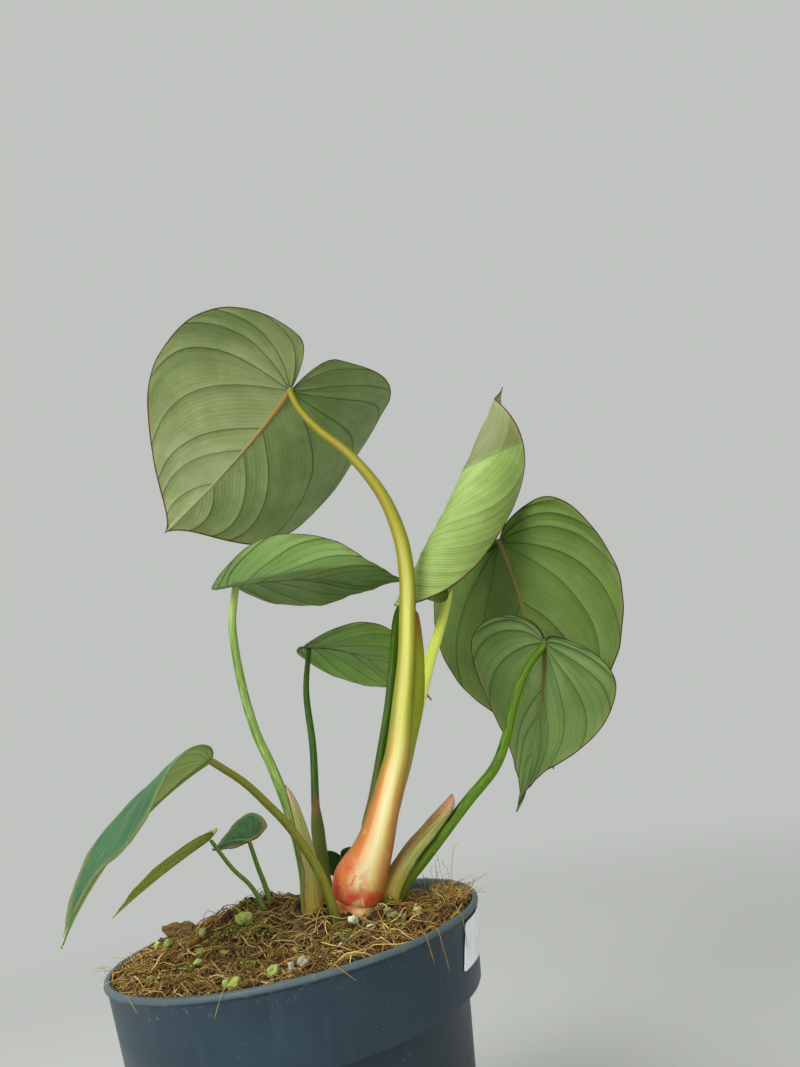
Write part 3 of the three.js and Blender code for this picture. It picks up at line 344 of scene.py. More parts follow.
def add_piece(name, points, faces, material, replaced=(), marks=None, smooth=True):
    """A mesh piece from points in mm that rides on the root and stands for its CAD nodes."""
    mesh = bpy.data.meshes.new(name)
    clean = [list(dict.fromkeys(face)) for face in faces]
    mesh.from_pydata((np.asarray(points) * MM).tolist(), [], [f for f in clean if len(f) > 2])
    mesh.polygons.foreach_set("use_smooth", [smooth] * len(mesh.polygons))
    for key, values in (marks or {}).items():
        layer = mesh.attributes.new(key, "FLOAT_COLOR", "POINT")
        layer.data.foreach_set("color", np.asarray(values, float).ravel())
    mesh.materials.append(material)
    piece = bpy.data.objects.new(name, mesh)
    bpy.context.scene.collection.objects.link(piece)
    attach(piece, "root")
    if replaced:
        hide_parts(*replaced)
    return piece


def grid_faces(rows, columns, start=0, closed=False):
    """Quads of a grid of points; closed joins its last column to its first."""
    faces = []
    for i in range(rows - 1):
        for j in range(columns if closed else columns - 1):
            k = (j + 1) % columns
            a = start + i * columns
            faces.append((a + j, a + k, a + columns + k, a + columns + j))
    return faces


def tube_faces(rings, sides):
    """Faces of a tube of points with flat ends."""
    last = (rings - 1) * sides
    ends = [tuple(range(sides))[::-1], tuple(range(last, last + sides))]
    return grid_faces(rings, sides, closed=True) + ends


def turned_faces(rings, segments):
    """Faces of a turned shape. Points 0 and 1 are its ends on the axis, then come its rings."""
    faces = grid_faces(rings, segments, 2, closed=True)
    last = 2 + (rings - 1) * segments
    for k in range(segments):
        n = (k + 1) % segments
        faces += [(0, 2 + n, 2 + k), (1, last + k, last + n)]
    return faces


# Materials

class Shader:
    """A material's nodes, with one method for each kind of step. skin is its colour so far."""

    def __init__(self, name, **uniform):
        self.material = bpy.data.materials.new(name)
        self.material.use_nodes = True
        self.tree = self.material.node_tree
        self.surface = self.tree.nodes["Principled BSDF"]
        self.skin = None
        for socket, value in uniform.items():
            self.surface.inputs[socket.replace("_", " ")].default_value = value

    def put(self, socket, value):
        """Links or sets a socket. A colour of three parts is in display values."""
        if isinstance(value, bpy.types.NodeSocket):
            self.tree.links.new(value, socket)
        else:
            if socket.type == "RGBA" and len(value) == 3:
                value = (*rgb(*value), 1.0)
            socket.default_value = value

    def node(self, kind, inputs, **settings):
        made = self.tree.nodes.new(kind)
        for key, value in settings.items():
            setattr(made, key, value)
        for key, value in inputs.items():
            self.put(made.inputs[key], value)
        return made

    def calc(self, operation, a, b=0.0, c=0.0):
        return self.node("ShaderNodeMath", {0: a, 1: b, 2: c}, operation=operation).outputs[0]

    def times(self, a, b):
        return self.calc("MULTIPLY", a, b)

    def fade(self, value, low, high, start=0.0, end=1.0):
        """start below low, end above high and a smooth change between."""
        inputs = {"Value": value, "From Min": low, "From Max": high, "To Min": start, "To Max": end}
        made = self.node("ShaderNodeMapRange", inputs, interpolation_type="SMOOTHSTEP")
        return made.outputs["Result"]

    def mix(self, factor, a, b):
        return self.node("ShaderNodeMix", {0: factor, 6: a, 7: b}, data_type="RGBA").outputs[2]

    def coat(self, colour, factor, *fading):
        """Lays a colour over the skin, as strong as a factor, which is first faded if that is given."""
        factor = self.fade(factor, *fading) if fading else factor
        self.skin = self.mix(factor, self.skin, colour)

    def place(self):
        return self.node("ShaderNodeTexCoord", {}).outputs["Object"]

    def vector(self, operation, a, b):
        return self.node("ShaderNodeVectorMath", {0: a, 1: b}, operation=operation).outputs

    def noise(self, size, detail, rough=0.55, bend=0.0, vector=None):
        """Cloudy noise from 0 to 1 with lumps of a size in mm."""
        inputs = {"Vector": vector or self.place(), "Scale": 1.0 / (size * MM), "Detail": detail,
                  "Roughness": rough, "Distortion": bend}
        return self.node("ShaderNodeTexNoise", inputs).outputs["Fac"]

    def long_streaks(self, x, y, along, stretch, fineness):
        """Noise drawn out along a stalk or sheath."""
        line = self.node("ShaderNodeCombineXYZ", {0: x, 1: y, 2: self.times(along, stretch)})
        inputs = {"Vector": line.outputs[0], "Scale": fineness, "Detail": 4.0, "Roughness": 0.6}
        return self.node("ShaderNodeTexNoise", inputs).outputs["Fac"]

    def mark(self, name):
        """The parts of a piece's colour attribute: red, green, blue, alpha."""
        layer = self.node("ShaderNodeAttribute", {}, attribute_name=name)
        parts = self.node("ShaderNodeSeparateColor", {0: layer.outputs["Color"]}).outputs
        return parts[0], parts[1], parts[2], layer.outputs["Alpha"]

    def ramp(self, factor, stops):
        """Colours along a factor; each stop is its place and its display colour."""
        made = self.node("ShaderNodeValToRGB", {0: factor})
        band = made.color_ramp
        for k, (place, colour) in enumerate(stops):
            stop = band.elements[k] if k < 2 else band.elements.new(place)
            stop.position = place
            stop.color = (*rgb(*colour), 1.0)
        return made.outputs["Color"]

    def bump(self, height, depth, normal=None):
        """Relief of a depth in mm."""
        inputs = {"Height": height, "Distance": depth * MM, "Strength": 1.0}
        if normal is not None:
            inputs["Normal"] = normal
        return self.node("ShaderNodeBump", inputs).outputs["Normal"]

    def finish(self, roughness=None, normal=None):
        for socket, value in (("Base Color", self.skin), ("Roughness", roughness), ("Normal", normal)):
            if value is not None:
                self.put(self.surface.inputs[socket], value)
        return self.material


def rgb(red, green, blue):
    """A colour given as 0 to 255 display values, as the linear values that nodes use."""
    def linear(part):
        part = part / 255
        return part / 12.92 if part <= 0.04045 else ((part + 0.055) / 1.055) ** 2.4
    return (linear(red), linear(green), linear(blue))


def dim(colour, share):
    """A colour with each part made darker."""
    return tuple(share * part for part in colour)


def leaf_material(name, lines, under, deep, upper, vein, rib, edge=(96, 50, 38), haze=(150, 128, 74),
                  hazy=0.5, strong=0.85, faint=0.45, fine=0.16, edge_width=0.7, spots=0.0, shine=0.2,
                  ridges=0.05, glow=0.10, painted_sheen_half=None, upper_vein=None, crease=None):
    """Leaf skin: fine parallel veinlets, darker main veins, a red-brown margin.

    painted_sheen_half is (colour, from, to) for a painted highlight: a sheen that pales the lower face's
    right half, fading in between from and to, in mm out from the midrib. crease is (direction,
    depth, colour) for painted shade on the part that lies turned over, beyond a plane in metres,
    with a painted dark line along its fold.
    """
    shade = Shader(name, Specular_IOR_Level=shine, Subsurface_Weight=glow, Subsurface_Scale=0.004,
                   Subsurface_Radius=(0.5, 1.0, 0.25))
    a, _, face, hand = shade.mark("leaf")
    main, minor, margin, rib_gap = shade.mark("gaps")
    cloud = shade.noise(26, 3)
    patchy = shade.noise(11, 3)
    grain = shade.noise(2.2, 3)
    sway = shade.times(shade.noise(9, 1), 3.0)
    phase = shade.calc("MULTIPLY_ADD", a, lines, sway)
    veinlet = shade.calc("MULTIPLY_ADD", shade.calc("SINE", phase), 0.5, 0.5)
    wide_phase = shade.calc("MULTIPLY_ADD", a, 0.25 * lines, sway)
    band = shade.calc("MULTIPLY_ADD", shade.calc("SINE", wide_phase), 0.5, 0.5)

    # Lower and upper face
    shade.skin = shade.mix(shade.fade(cloud, 0.3, 0.7), under, deep)
    shade.coat(dim(deep, 0.88), patchy, 0.35, 0.7, 0.0, 0.35)
    # Painted highlight: a sheen that pales the lower face's right half away from the midrib
    if painted_sheen_half:
        tint, inner, outer = painted_sheen_half
        shade.coat(tint, shade.times(hand, shade.fade(rib_gap, inner, outer)))
    shade.coat(vein, shade.times(veinlet, fine))
    shade.coat(vein, shade.times(shade.fade(band, 0.5, 1.0), 0.5 * fine))
    shade.coat(upper, grain, 0.35, 0.75, 0.0, 0.08)
    above = shade.mix(shade.fade(cloud, 0.25, 0.75), upper, dim(upper, 0.78))
    pale_vein = upper_vein or under
    above = shade.mix(shade.times(veinlet, 0.12), above, pale_vein)
    shade.skin = shade.mix(face, shade.skin, above)
    if crease:
        # Painted shade on the part that lies turned over, and a painted dark line along its fold
        facing, depth, tint = crease
        over = shade.calc("SUBTRACT", shade.vector("DOT_PRODUCT", shade.place(), facing)["Value"], depth)
        shade.coat(tint, over, -0.0005, 0.002, 0.0, 0.9)
        shade.coat(vein, shade.calc("ABSOLUTE", over), 0.0003, 0.0012, 0.45, 0.0)

    # Haze by the margin, veins and midrib
    hazy_part = shade.fade(cloud, 0.3, 0.75, 0.25 * hazy, hazy)
    shade.coat(haze, shade.times(shade.fade(margin, 0.4, 7.0, 1.0, 0.0), hazy_part))
    line = shade.mix(face, vein, pale_vein)
    shade.coat(line, minor, 0.05, 0.28, faint, 0.0)
    shade.coat(line, main, 0.5, 2.0, 0.10 * strong, 0.0)
    shade.coat(line, main, 0.16, 0.48, strong, 0.0)
    rib_tint = shade.mix(shade.fade(a, 0.10, 0.34), under, rib)
    shade.coat(rib_tint, rib_gap, 0.5, 1.1, 1.0, 0.0)

    # Spots, the ragged coloured margin and the relief
    if spots:
        shade.coat((96, 62, 38), shade.noise(5, 2), 0.66, 0.72, 0.0, spots)
    ragged = shade.calc("MULTIPLY_ADD", shade.noise(6, 2), 0.5, margin)
    shade.coat(edge, ragged, 0.30 + 0.4 * edge_width, 0.30 + edge_width, 0.95, 0.0)
    relief = None
    if ridges:
        # The main veins stand up from the lower face and are sunk in the upper one
        face_sign = shade.fade(face, 0.0, 1.0, 1.0, -1.0)
        raised = shade.times(shade.fade(main, 0.0, 3.5, 1.0, 0.0), face_sign)
        relief = shade.bump(raised, 0.25, shade.bump(shade.noise(0.9, 2), 0.04))
        relief = shade.bump(veinlet, ridges, relief)
    roughness = shade.mix(face, (0.55, 0.55, 0.55, 1.0), (0.45, 0.45, 0.45, 1.0))
    return shade.finish(roughness, relief)


def stalk_material(name, front, side, streak, foot, tip=None):
    """Stalk skin: long streaks, a tint towards the foot and one at the leaf, and one half painted darker as
    shade.
    """
    shade = Shader(name, Specular_IOR_Level=0.22, Subsurface_Weight=0.12, Subsurface_Scale=0.004,
                   Subsurface_Radius=(1.0, 0.8, 0.3))
    height, turn_x, turn_y, _ = shade.mark("stalk")
    streaks = shade.long_streaks(turn_x, turn_y, height, 2.5, 7.0)
    # Painted shade: the darker side colour covers the stalk's left half, the front colour its right half
    shade.skin = shade.mix(shade.fade(turn_x, 0.15, 0.85), side, front)
    shade.coat(streak, streaks, 0.42, 0.62, 0.0, 0.6)
    shade.coat(foot, height, 0.0, 0.22, 1.0, 0.0)
    if tip:
        shade.coat(tip, height, 0.8, 1.0)
    shade.coat(dim(side, 0.6), shade.noise(1.1, 2), 0.62, 0.72, 0.0, 0.25)
    relief = shade.bump(streaks, 0.2)
    relief = shade.bump(shade.noise(0.8, 2), 0.04, relief)
    return shade.finish(shade.fade(streaks, 0.3, 0.7, 0.36, 0.5), relief)


# Leaves

def cubic(p0, p1, p2, p3, t):
    """A Bezier curve's points."""
    s = 1 - t
    return s ** 3 * p0 + 3 * s * s * t * p1 + 3 * s * t * t * p2 + t ** 3 * p3


class HalfBlade:
    """One half of a flat blade, in parts of its length: x to the tip, y out from the midrib."""

    def __init__(self, leaf, side):
        width = leaf["right" if side > 0 else "left"]
        lobe, spread, round_by = leaf["lobe"], leaf["spread"], 0.6
        if side > 0 and "right_lobe" in leaf:
            lobe, spread, round_by = leaf["right_lobe"]
        t = np.linspace(0, 1, 201)[:, None]
        wide = np.array([leaf["widest"], width])
        rear = np.array([-lobe, spread])
        shoulder = wide + [(1 - leaf["widest"]) * 0.5, 0]
        flank = wide - [(leaf["widest"] + lobe) * 0.5, 0]
        heel = rear + [0, (width - spread) * round_by]
        taper = np.array(leaf.get("taper", (0.84, 0.035)))
        front = cubic(np.array([1.0, 0.0]), taper, shoulder, wide, t)
        back = cubic(wide, flank, heel, rear, t)
        self.margin = np.concatenate([front, back[1:]])
        self.notch_start = np.array([-lobe * 0.55, spread * 0.12])
        self.notch_end = rear * [1, 0.4]
        run = np.r_[0, np.cumsum(np.linalg.norm(np.diff(self.margin, axis=0), axis=1))]
        self.part = run / run[-1]

    def edge(self, part):
        return np.stack([np.interp(part, self.part, self.margin[:, k]) for k in (0, 1)], -1)

    def point(self, a, b):
        """The point at vein a and part b of the way from the midrib to the margin."""
        part = a ** VEIN_CROWDING
        end = self.edge(part)
        start = np.stack([np.maximum(1 - a / BASE_VEIN, 0), 0 * a], -1)
        u = np.clip((a - BASE_VEIN) / (1 - BASE_VEIN), 0, 1)
        notch = np.pi - np.arctan2(self.notch_start[1], -self.notch_start[0])
        leave = np.radians(VEIN_LEAVE) + (notch - np.radians(VEIN_LEAVE)) * u ** 1.1
        along = self.edge(np.clip(part - 0.01, 0, 1)) - self.edge(np.clip(part + 0.01, 0, 1))
        arrive = np.arctan2(along[..., 1], along[..., 0]) + np.radians(VEIN_ARRIVE) * (1 - u ** 3)
        reach = VEIN_REACH * np.linalg.norm(end - start, axis=-1)[..., None]
        first = start + reach * np.stack([np.cos(leave), np.sin(leave)], -1)
        second = end - reach * np.stack([np.cos(arrive), np.sin(arrive)], -1)
        notched = (u ** 6)[..., None]
        first = first + (self.notch_start - first) * notched
        second = second + (self.notch_end - second) * notched
        return cubic(start, first, second, end, b[..., None])

    def spread(self, a, b):
        """How far apart veins lie at a point, measured across them, for each unit of a."""
        e = SMALL_STEP
        da = (self.point(np.clip(a + e, 0, 1), b) - self.point(np.clip(a - e, 0, 1), b)) / (2 * e)
        db = self.point(a, np.clip(b + e, 0, 1)) - self.point(a, np.clip(b - e, 0, 1))
        cross = np.abs(da[..., 0] * db[..., 1] - da[..., 1] * db[..., 0])
        return cross / np.maximum(np.linalg.norm(db, axis=-1), 1e-9)


def leaf_axes(leaf):
    """Directions towards the tip, to the right and out of the upper face."""
    h, c, r = np.radians([leaf["heading"], leaf["climb"], leaf["roll"]])
    ahead = np.array([np.cos(h) * np.cos(c), np.sin(h) * np.cos(c), np.sin(c)])
    level = np.array([np.sin(h), -np.cos(h), 0.0])
    upright = np.cross(level, ahead)
    up = np.cos(r) * upright + np.sin(r) * level
    return ahead, np.cos(r) * level - np.sin(r) * upright, up


def bend(leaf, x, y, side):
    """Bends flat points of the blade into place. side is 1 on the right and -1 on the left."""
    ahead, right, up = leaf_axes(leaf)
    hand = "right" if side > 0 else "left"
    fold = np.radians(leaf["fold_" + hand])
    curl = np.radians(leaf["curl_" + hand]) / leaf[hand]
    turn = fold + curl * y
    across = (np.sin(turn) - np.sin(fold)) / curl
    height = (np.cos(fold) - np.cos(turn)) / curl
    droop = np.where(x >= 0, np.radians(leaf["droop"]), np.radians(leaf["back"]))
    droop = np.where(np.abs(droop) < 1e-6, 1e-6, droop)
    twist = np.radians(leaf["twist"]) * x
    c, s = np.cos(droop * x)[..., None], np.sin(droop * x)[..., None]
    top = c * up + s * ahead
    ct, st = np.cos(twist)[..., None], np.sin(twist)[..., None]
    beside = ct * right + st * top
    normal = ct * top - st * right
    flat = (s / droop[..., None]) * ahead + ((c - 1) / droop[..., None]) * up
    bent = flat + side * across[..., None] * beside + height[..., None] * normal
    return np.array(leaf["foot"], float) + leaf["length"] * bent


def blade_normal(leaf, x, y, side):
    """The direction out of the blade's upper face."""
    e = SMALL_STEP
    dx = bend(leaf, x + e, y, side) - bend(leaf, x - e, y, side)
    dy = bend(leaf, x, y + e, side) - bend(leaf, x, y, side)
    return -unit(np.cross(dx, dy) * side)


def nearest(values, marks):
    """How far each value is from the nearest mark."""
    return np.abs(values[..., None] - marks).min(axis=-1)


def vein_rows(count):
    """Vein numbers of the mesh rows, closer together beside each vein that stands out."""
    rows = list(np.linspace(0.008, 1, count))
    for vein in MAIN_VEINS[1:-1]:
        rows += [vein + offset for offset in (-0.012, -0.007, -0.003, 0, 0.003, 0.007, 0.012)]
    rows += list(MINOR_VEINS)
    kept = []
    for row in sorted(rows):
        if not kept or row - kept[-1] > 0.0016:
            kept.append(row)
    return np.array(kept)


def blade_relief(leaf, a, b, side):
    """Height above the smooth surface: puffed up between veins, waved at the margin."""
    high = np.clip(np.searchsorted(MAIN_VEINS, a), 1, len(MAIN_VEINS) - 1)
    low = MAIN_VEINS[high - 1]
    between = np.clip((a - low) / (MAIN_VEINS[high] - low), 0, 1)
    puff = leaf["quilt"] * np.sin(np.pi * between) * np.sin(np.pi * np.minimum(b, 0.999)) ** 0.7
    wave = leaf["wave"] * b ** 3 * np.sin(2 * np.pi * (4.3 * a + (0.1 if side > 0 else 0.45)))
    return puff + wave * np.sin(np.pi * a)


def build_leaf(name, leaf, material, seed):
    """A blade with both faces and its margin, veins raised below, and a rounded midrib."""
    rows = vein_rows(leaf["rows"])
    # Columns of points are closer together by the midrib and by the margin
    inner = np.array([0, 0.012, 0.03, 0.055, 0.085])
    columns = np.r_[inner, np.linspace(0.12, 0.94, leaf["columns"]), 0.965, 0.985, 1.0]
    points, leaf_marks, gap_marks, faces = [], [], [], []
    size = leaf["length"]
    for side in (1, -1):
        half = HalfBlade(leaf, side)
        a, b = np.meshgrid(np.r_[0.0, rows], columns, indexing="ij")
        flat = half.point(a, b)
        x, y = flat[..., 0], flat[..., 1]
        y = np.where(b == 0, 0.0, y)
        normal = blade_normal(leaf, x, y, side)
        other = blade_normal(leaf, x, 0 * y, -side)
        normal = np.where((b == 0)[..., None], unit(normal + other), normal)
        # Distances in mm to the main and minor veins, the margin and the midrib
        pitch = half.spread(np.clip(a, 0.004, 0.996), np.clip(b, 0.004, 0.996)) * size
        main = nearest(a, MAIN_VEINS[1:-1]) * pitch
        minor = nearest(a, MINOR_VEINS) * pitch
        reach = np.linalg.norm(half.edge(a ** VEIN_CROWDING) - half.point(a, 0 * b), axis=-1) * size
        margin = np.minimum((1 - b) * reach, (1 - a) * pitch * 2)
        margin = np.where(a == 0, 0, margin)
        margin = np.where(b == 0, (1 - x) * size, margin)
        rib = np.abs(y) * size + np.where(x < 0, -x * size, 0)
        # The middle of the blade, then its two faces with the veins raised most below
        smooth = bend(leaf, x, y, side)
        rise = blade_relief(leaf, a, b, side)
        rise += 0.35 * ripple(smooth, 22, seed) * np.sin(np.pi * np.clip(b, 0, 1))
        rise += leaf["wave"] * 0.35 * b ** 6 * np.sin(2 * np.pi * 11 * a + seed) * np.sin(np.pi * a)
        rise = np.where(b == 0, 0, rise)
        middle = smooth + rise[..., None] * normal
        strong = np.exp(-(main / VEIN_WIDTH) ** 2) * (1 - 0.6 * b) * step(b, 0.0, 0.06)
        weak = np.exp(-(minor / MINOR_WIDTH) ** 2) * (1 - 0.5 * b) * step(b, 0.0, 0.06)
        thick = EDGE_THICK + EXTRA_THICK * step(margin, 0.0, 4.0)
        upper = middle + (thick - 0.18 * strong - 0.06 * weak)[..., None] * normal
        lower = middle - (thick + 0.34 * strong + 0.12 * weak)[..., None] * normal
        shape = a.shape
        for face, skin in ((1.0, upper), (0.0, lower)):
            start = len(points)
            points.extend(skin.reshape(-1, 3))
            leaf_marks.append(np.stack([a, b, 0 * a + face, 0 * a + (side > 0)], -1).reshape(-1, 4))
            gap_marks.append(np.stack([main, minor, margin, rib], -1).reshape(-1, 4))
            quads = grid_faces(shape[0], shape[1], start)
            flip = (side > 0) != (face > 0)
            faces.extend([quad[::-1] for quad in quads] if flip else quads)
        # A wall round the margin joins the two faces
        base = len(points) - 2 * a.size
        ring = [i * shape[1] + shape[1] - 1 for i in range(shape[0])]
        ring += [(shape[0] - 1) * shape[1] + j for j in range(shape[1] - 2, -1, -1)]
        for p, q in zip(ring, ring[1:]):
            wall = (base + p, base + q, base + a.size + q, base + a.size + p)
            faces.append(wall[::-1] if side > 0 else wall)
    rib_points, rib_faces, rib_leaf, rib_gaps = midrib(leaf, len(points))
    points.extend(rib_points)
    faces.extend(rib_faces)
    marks = {"leaf": np.concatenate([*leaf_marks, rib_leaf]), "gaps": np.concatenate([*gap_marks, rib_gaps])}
    piece = add_piece(name + "_blade", points, faces, material, [name], marks)
    weld(piece)


def weld(piece, distance=0.004):
    """Joins the halves along the midrib and turns every face outward."""
    mesh = bmesh.new()
    mesh.from_mesh(piece.data)
    bmesh.ops.remove_doubles(mesh, verts=mesh.verts, dist=distance * MM)
    bmesh.ops.recalc_face_normals(mesh, faces=mesh.faces)
    mesh.to_mesh(piece.data)
    mesh.free()


def midrib(leaf, start):
    """The rounded rib under the blade: its points, its faces counted on from start, its two marks."""
    x = np.linspace(-0.02, RIB_END, 90)
    centre = bend(leaf, x, 0 * x, 1)
    normal = unit(blade_normal(leaf, x, 0 * x, 1) + blade_normal(leaf, x, 0 * x, -1))
    tangent = unit(np.gradient(centre, axis=0))
    beside = np.cross(tangent, normal)
    radius = 0.30 + (leaf["rib"] - 0.30) * np.clip(1 - x / RIB_END, 0, 1) ** 1.3
    radius[0] *= 0.6
    radius[-1] = 0.08
    turns = circle(16)
    up = np.where(np.sin(turns) > 0, 0.10 * np.sin(turns), 0)
    down = np.where(np.sin(turns) < 0, np.sin(turns), 0)
    ring = (centre[:, None] + radius[:, None, None] * np.cos(turns)[None, :, None] * beside[:, None]
            + (up[None, :, None] + 0.85 * radius[:, None, None] * down[None, :, None]) * normal[:, None])
    count = len(turns)
    faces = grid_faces(len(x), count, start, closed=True)
    last = start + (len(x) - 1) * count
    faces += [tuple(range(start, start + count)), tuple(range(last, last + count))[::-1]]
    where = np.repeat(1 - x, count)
    zero = 0 * where
    leaf_mark = np.stack([np.clip(where, 0, 1) * 0.4, zero, zero, zero], -1)
    gap_mark = np.stack([zero + 9, zero + 9, zero + 9, zero], -1)
    return ring.reshape(-1, 3), faces, leaf_mark, gap_mark


# Stalks and sheaths

def run_line(points, values, spacing):
    """Every few mm along a line: part of its length, centre, values, and three square directions."""
    total = np.linalg.norm(np.diff(np.array(points, float), axis=0), axis=1).sum()
    places = np.linspace(0, 1, max(8, int(total / spacing)))
    centre = through(points, places)
    tangent = unit(np.gradient(centre, axis=0))
    across = unit(np.array([1.0, 0, 0]) - tangent[:, :1] * tangent)
    back = np.cross(tangent, across)
    run = np.r_[0, np.cumsum(np.linalg.norm(np.diff(centre, axis=0), axis=1))]
    return run / run[-1], centre, through(values, places), across, back, tangent


def build_stalk(name, stalk, material, seed):
    """A stalk with a slight groove and long ridges, rounded off at its top, and at its foot too where a foot
    depth is given.
    """
    parts, centre, radius, across, back, tangent = run_line(stalk["points"], stalk["radii"], 1.6)
    sides = stalk["sides"]
    turns = circle(sides)
    round_x, round_y = np.cos(turns), np.sin(turns)
    tall = np.repeat(parts[:, None], sides, 1)
    spots = np.stack([np.tile(round_x, (len(parts), 1)) * 3, np.tile(round_y, (len(parts), 1)) * 3,
                      tall * 12], -1)
    size = radius * (1 + 0.018 * ripple(spots, 5, seed) + 0.012 * ripple(spots * [1, 1, 0.1], 1.6, seed + 1))
    groove = np.exp(-((turns - np.pi / 2) / 0.35) ** 2)
    size = size * (1 - 0.07 * groove * step(tall, 0.15, 0.4))
    outward = round_x[:, None] * across[:, None] + round_y[:, None] * back[:, None]
    skin = centre[:, None] + size[..., None] * outward
    foot_depth = stalk.get("foot_depth", 0.0)
    foot = [centre[0] + np.cos(turn) * (skin[0] - centre[0]) - np.sin(turn) * foot_depth * tangent[0]
            for turn in (1.45, 1.2, 0.9, 0.6, 0.3)] if foot_depth else []
    tip = [centre[-1] + np.cos(turn) * (skin[-1] - centre[-1]) + np.sin(turn) * radius[-1] * tangent[-1]
           for turn in (0.35, 0.7, 1.05, 1.35)]
    tall = np.concatenate([np.zeros((len(foot), sides)), tall, np.ones((len(tip), sides))])
    skin = np.concatenate([*[ring[None] for ring in foot], skin, *[ring[None] for ring in tip]])
    around = [np.tile(side * 0.5 + 0.5, (len(skin), 1)) for side in (round_x, round_y)]
    marks = np.stack([tall, *around, 0 * tall], -1)
    add_piece(name + "_skin", skin.reshape(-1, 3), tube_faces(len(skin), sides), material, [name],
              {"stalk": marks.reshape(-1, 4)})


def build_sheath(name, sheath, material, seed, ragged):
    """A papery sheath with a thin edge, ragged by so many degrees."""
    both = np.stack([sheath["radii"], sheath["arcs"]], -1)
    parts, centre, values, across, back, _ = run_line(sheath["points"], both, 1.2)
    end = np.clip((parts - 0.93) / 0.07, 0, 1)
    rounding = np.sqrt(1 - 0.94 * end ** 2)[:, None]
    radius, arcs = values[:, :1], values[:, 1:] * rounding
    strips = SHEATH_STRIPS
    u = np.linspace(-0.5, 0.5, strips + 1)
    wobble = np.stack([parts * 90, 0 * parts, 0 * parts], -1)
    left = ragged * ripple(wobble, 9, seed)
    right = ragged * ripple(wobble, 7, seed + 1)
    torn = np.where(u[None] < 0, left[:, None], right[:, None])
    spread = arcs * u[None] + torn * (2 * np.abs(u[None])) ** 4
    turn = np.radians(sheath["facing"] + spread)
    rings, ring_marks = [], []
    spots = np.stack([np.tile(u * 14, (len(parts), 1)), np.repeat(parts[:, None] * 60, strips + 1, 1),
                      0 * turn], -1)
    crinkle = 0.22 * ripple(spots * [1, 0.25, 1], 3.5, seed + 2)
    for skin in (0, 1):
        size = radius - skin * SHEATH_THICK + crinkle
        shell = centre[:, None] + size[..., None] * (np.cos(turn)[..., None] * across[:, None]
                                                     + np.sin(turn)[..., None] * back[:, None])
        rings.append(shell if skin == 0 else shell[:, ::-1])
        edge = np.tile(np.abs(u) * 2, (len(parts), 1))
        tall = np.repeat(parts[:, None], strips + 1, 1)
        mark = np.stack([tall, edge, np.tile(u + 0.5, (len(parts), 1)), 0 * tall + skin], -1)
        ring_marks.append(mark if skin == 0 else mark[:, ::-1])
    points = np.concatenate(rings, axis=1)
    marks = np.concatenate(ring_marks, axis=1)
    count = points.shape[1]
    faces = grid_faces(len(parts), count, closed=True)
    for start in (0, (len(parts) - 1) * count):
        for k in range(strips):
            quad = (start + k, start + k + 1, start + count - 2 - k, start + count - 1 - k)
            faces.append(quad if start == 0 else quad[::-1])
    piece = add_piece(name + "_film", points.reshape(-1, 3), faces, material, [name],
                      {"sheath": marks.reshape(-1, 4)})
    weld(piece, 0.002)


# Soil

def bump_at(spot, x, y):
    """The height that one rise or dip adds."""
    return spot["rise"] * np.exp(-((x - spot["x"]) ** 2 + (y - spot["y"]) ** 2) / (2 * spot["spread"] ** 2))


def soil_height(x, y):
    """The soil's height without its clods."""
    lumps = (1.1 * np.sin(0.21 * x + 1.3) * np.cos(0.17 * y) + 0.8 * np.sin(0.37 * x - 0.29 * y)
             + 0.6 * np.cos(0.49 * y + 0.23 * x + 2))
    return SOIL_LEVEL + bump_at(MOUND, x, y) + bump_at(CROWN_RISE, x, y) + bump_at(DIP, x, y) + lumps


def collar_radius(z):
    """The collar's outside, which widens from its foot to the lip."""
    foot = POT_HEIGHT - COLLAR_HEIGHT
    return COLLAR_FOOT_RADIUS + (RIM_RADIUS - LIP_OUT - COLLAR_FOOT_RADIUS) * (z - foot) / COLLAR_HEIGHT


def body_radius(z):
    """The body's outside below the collar."""
    return FOOT_RADIUS + (BODY_TOP_RADIUS - FOOT_RADIUS) * z / (POT_HEIGHT - COLLAR_HEIGHT)


def inner_radius(z):
    """The pot's inside wall."""
    step_height = POT_HEIGHT - COLLAR_HEIGHT
    if z < step_height + WALL:
        return body_radius(z) - WALL
    low, high = collar_radius(step_height + WALL) - WALL, RIM_RADIUS - WALL - LIP_OUT
    return low + (high - low) * (z - step_height - WALL) / (COLLAR_HEIGHT - WALL)


def rough_ground(x, y):
    """The soil's height with its clods and crumbs."""
    spots = np.stack([x, y], -1)
    rise = soil_height(x, y) + 0.9 * ripple(spots, 9, 21)
    clods = 0.55 * np.abs(ripple(spots, 4.5, 22)) + 0.38 * np.abs(ripple(spots, 2.3, 23))
    rise += clods + 0.22 * ripple(spots, 1.2, 24)
    return rise - 0.6


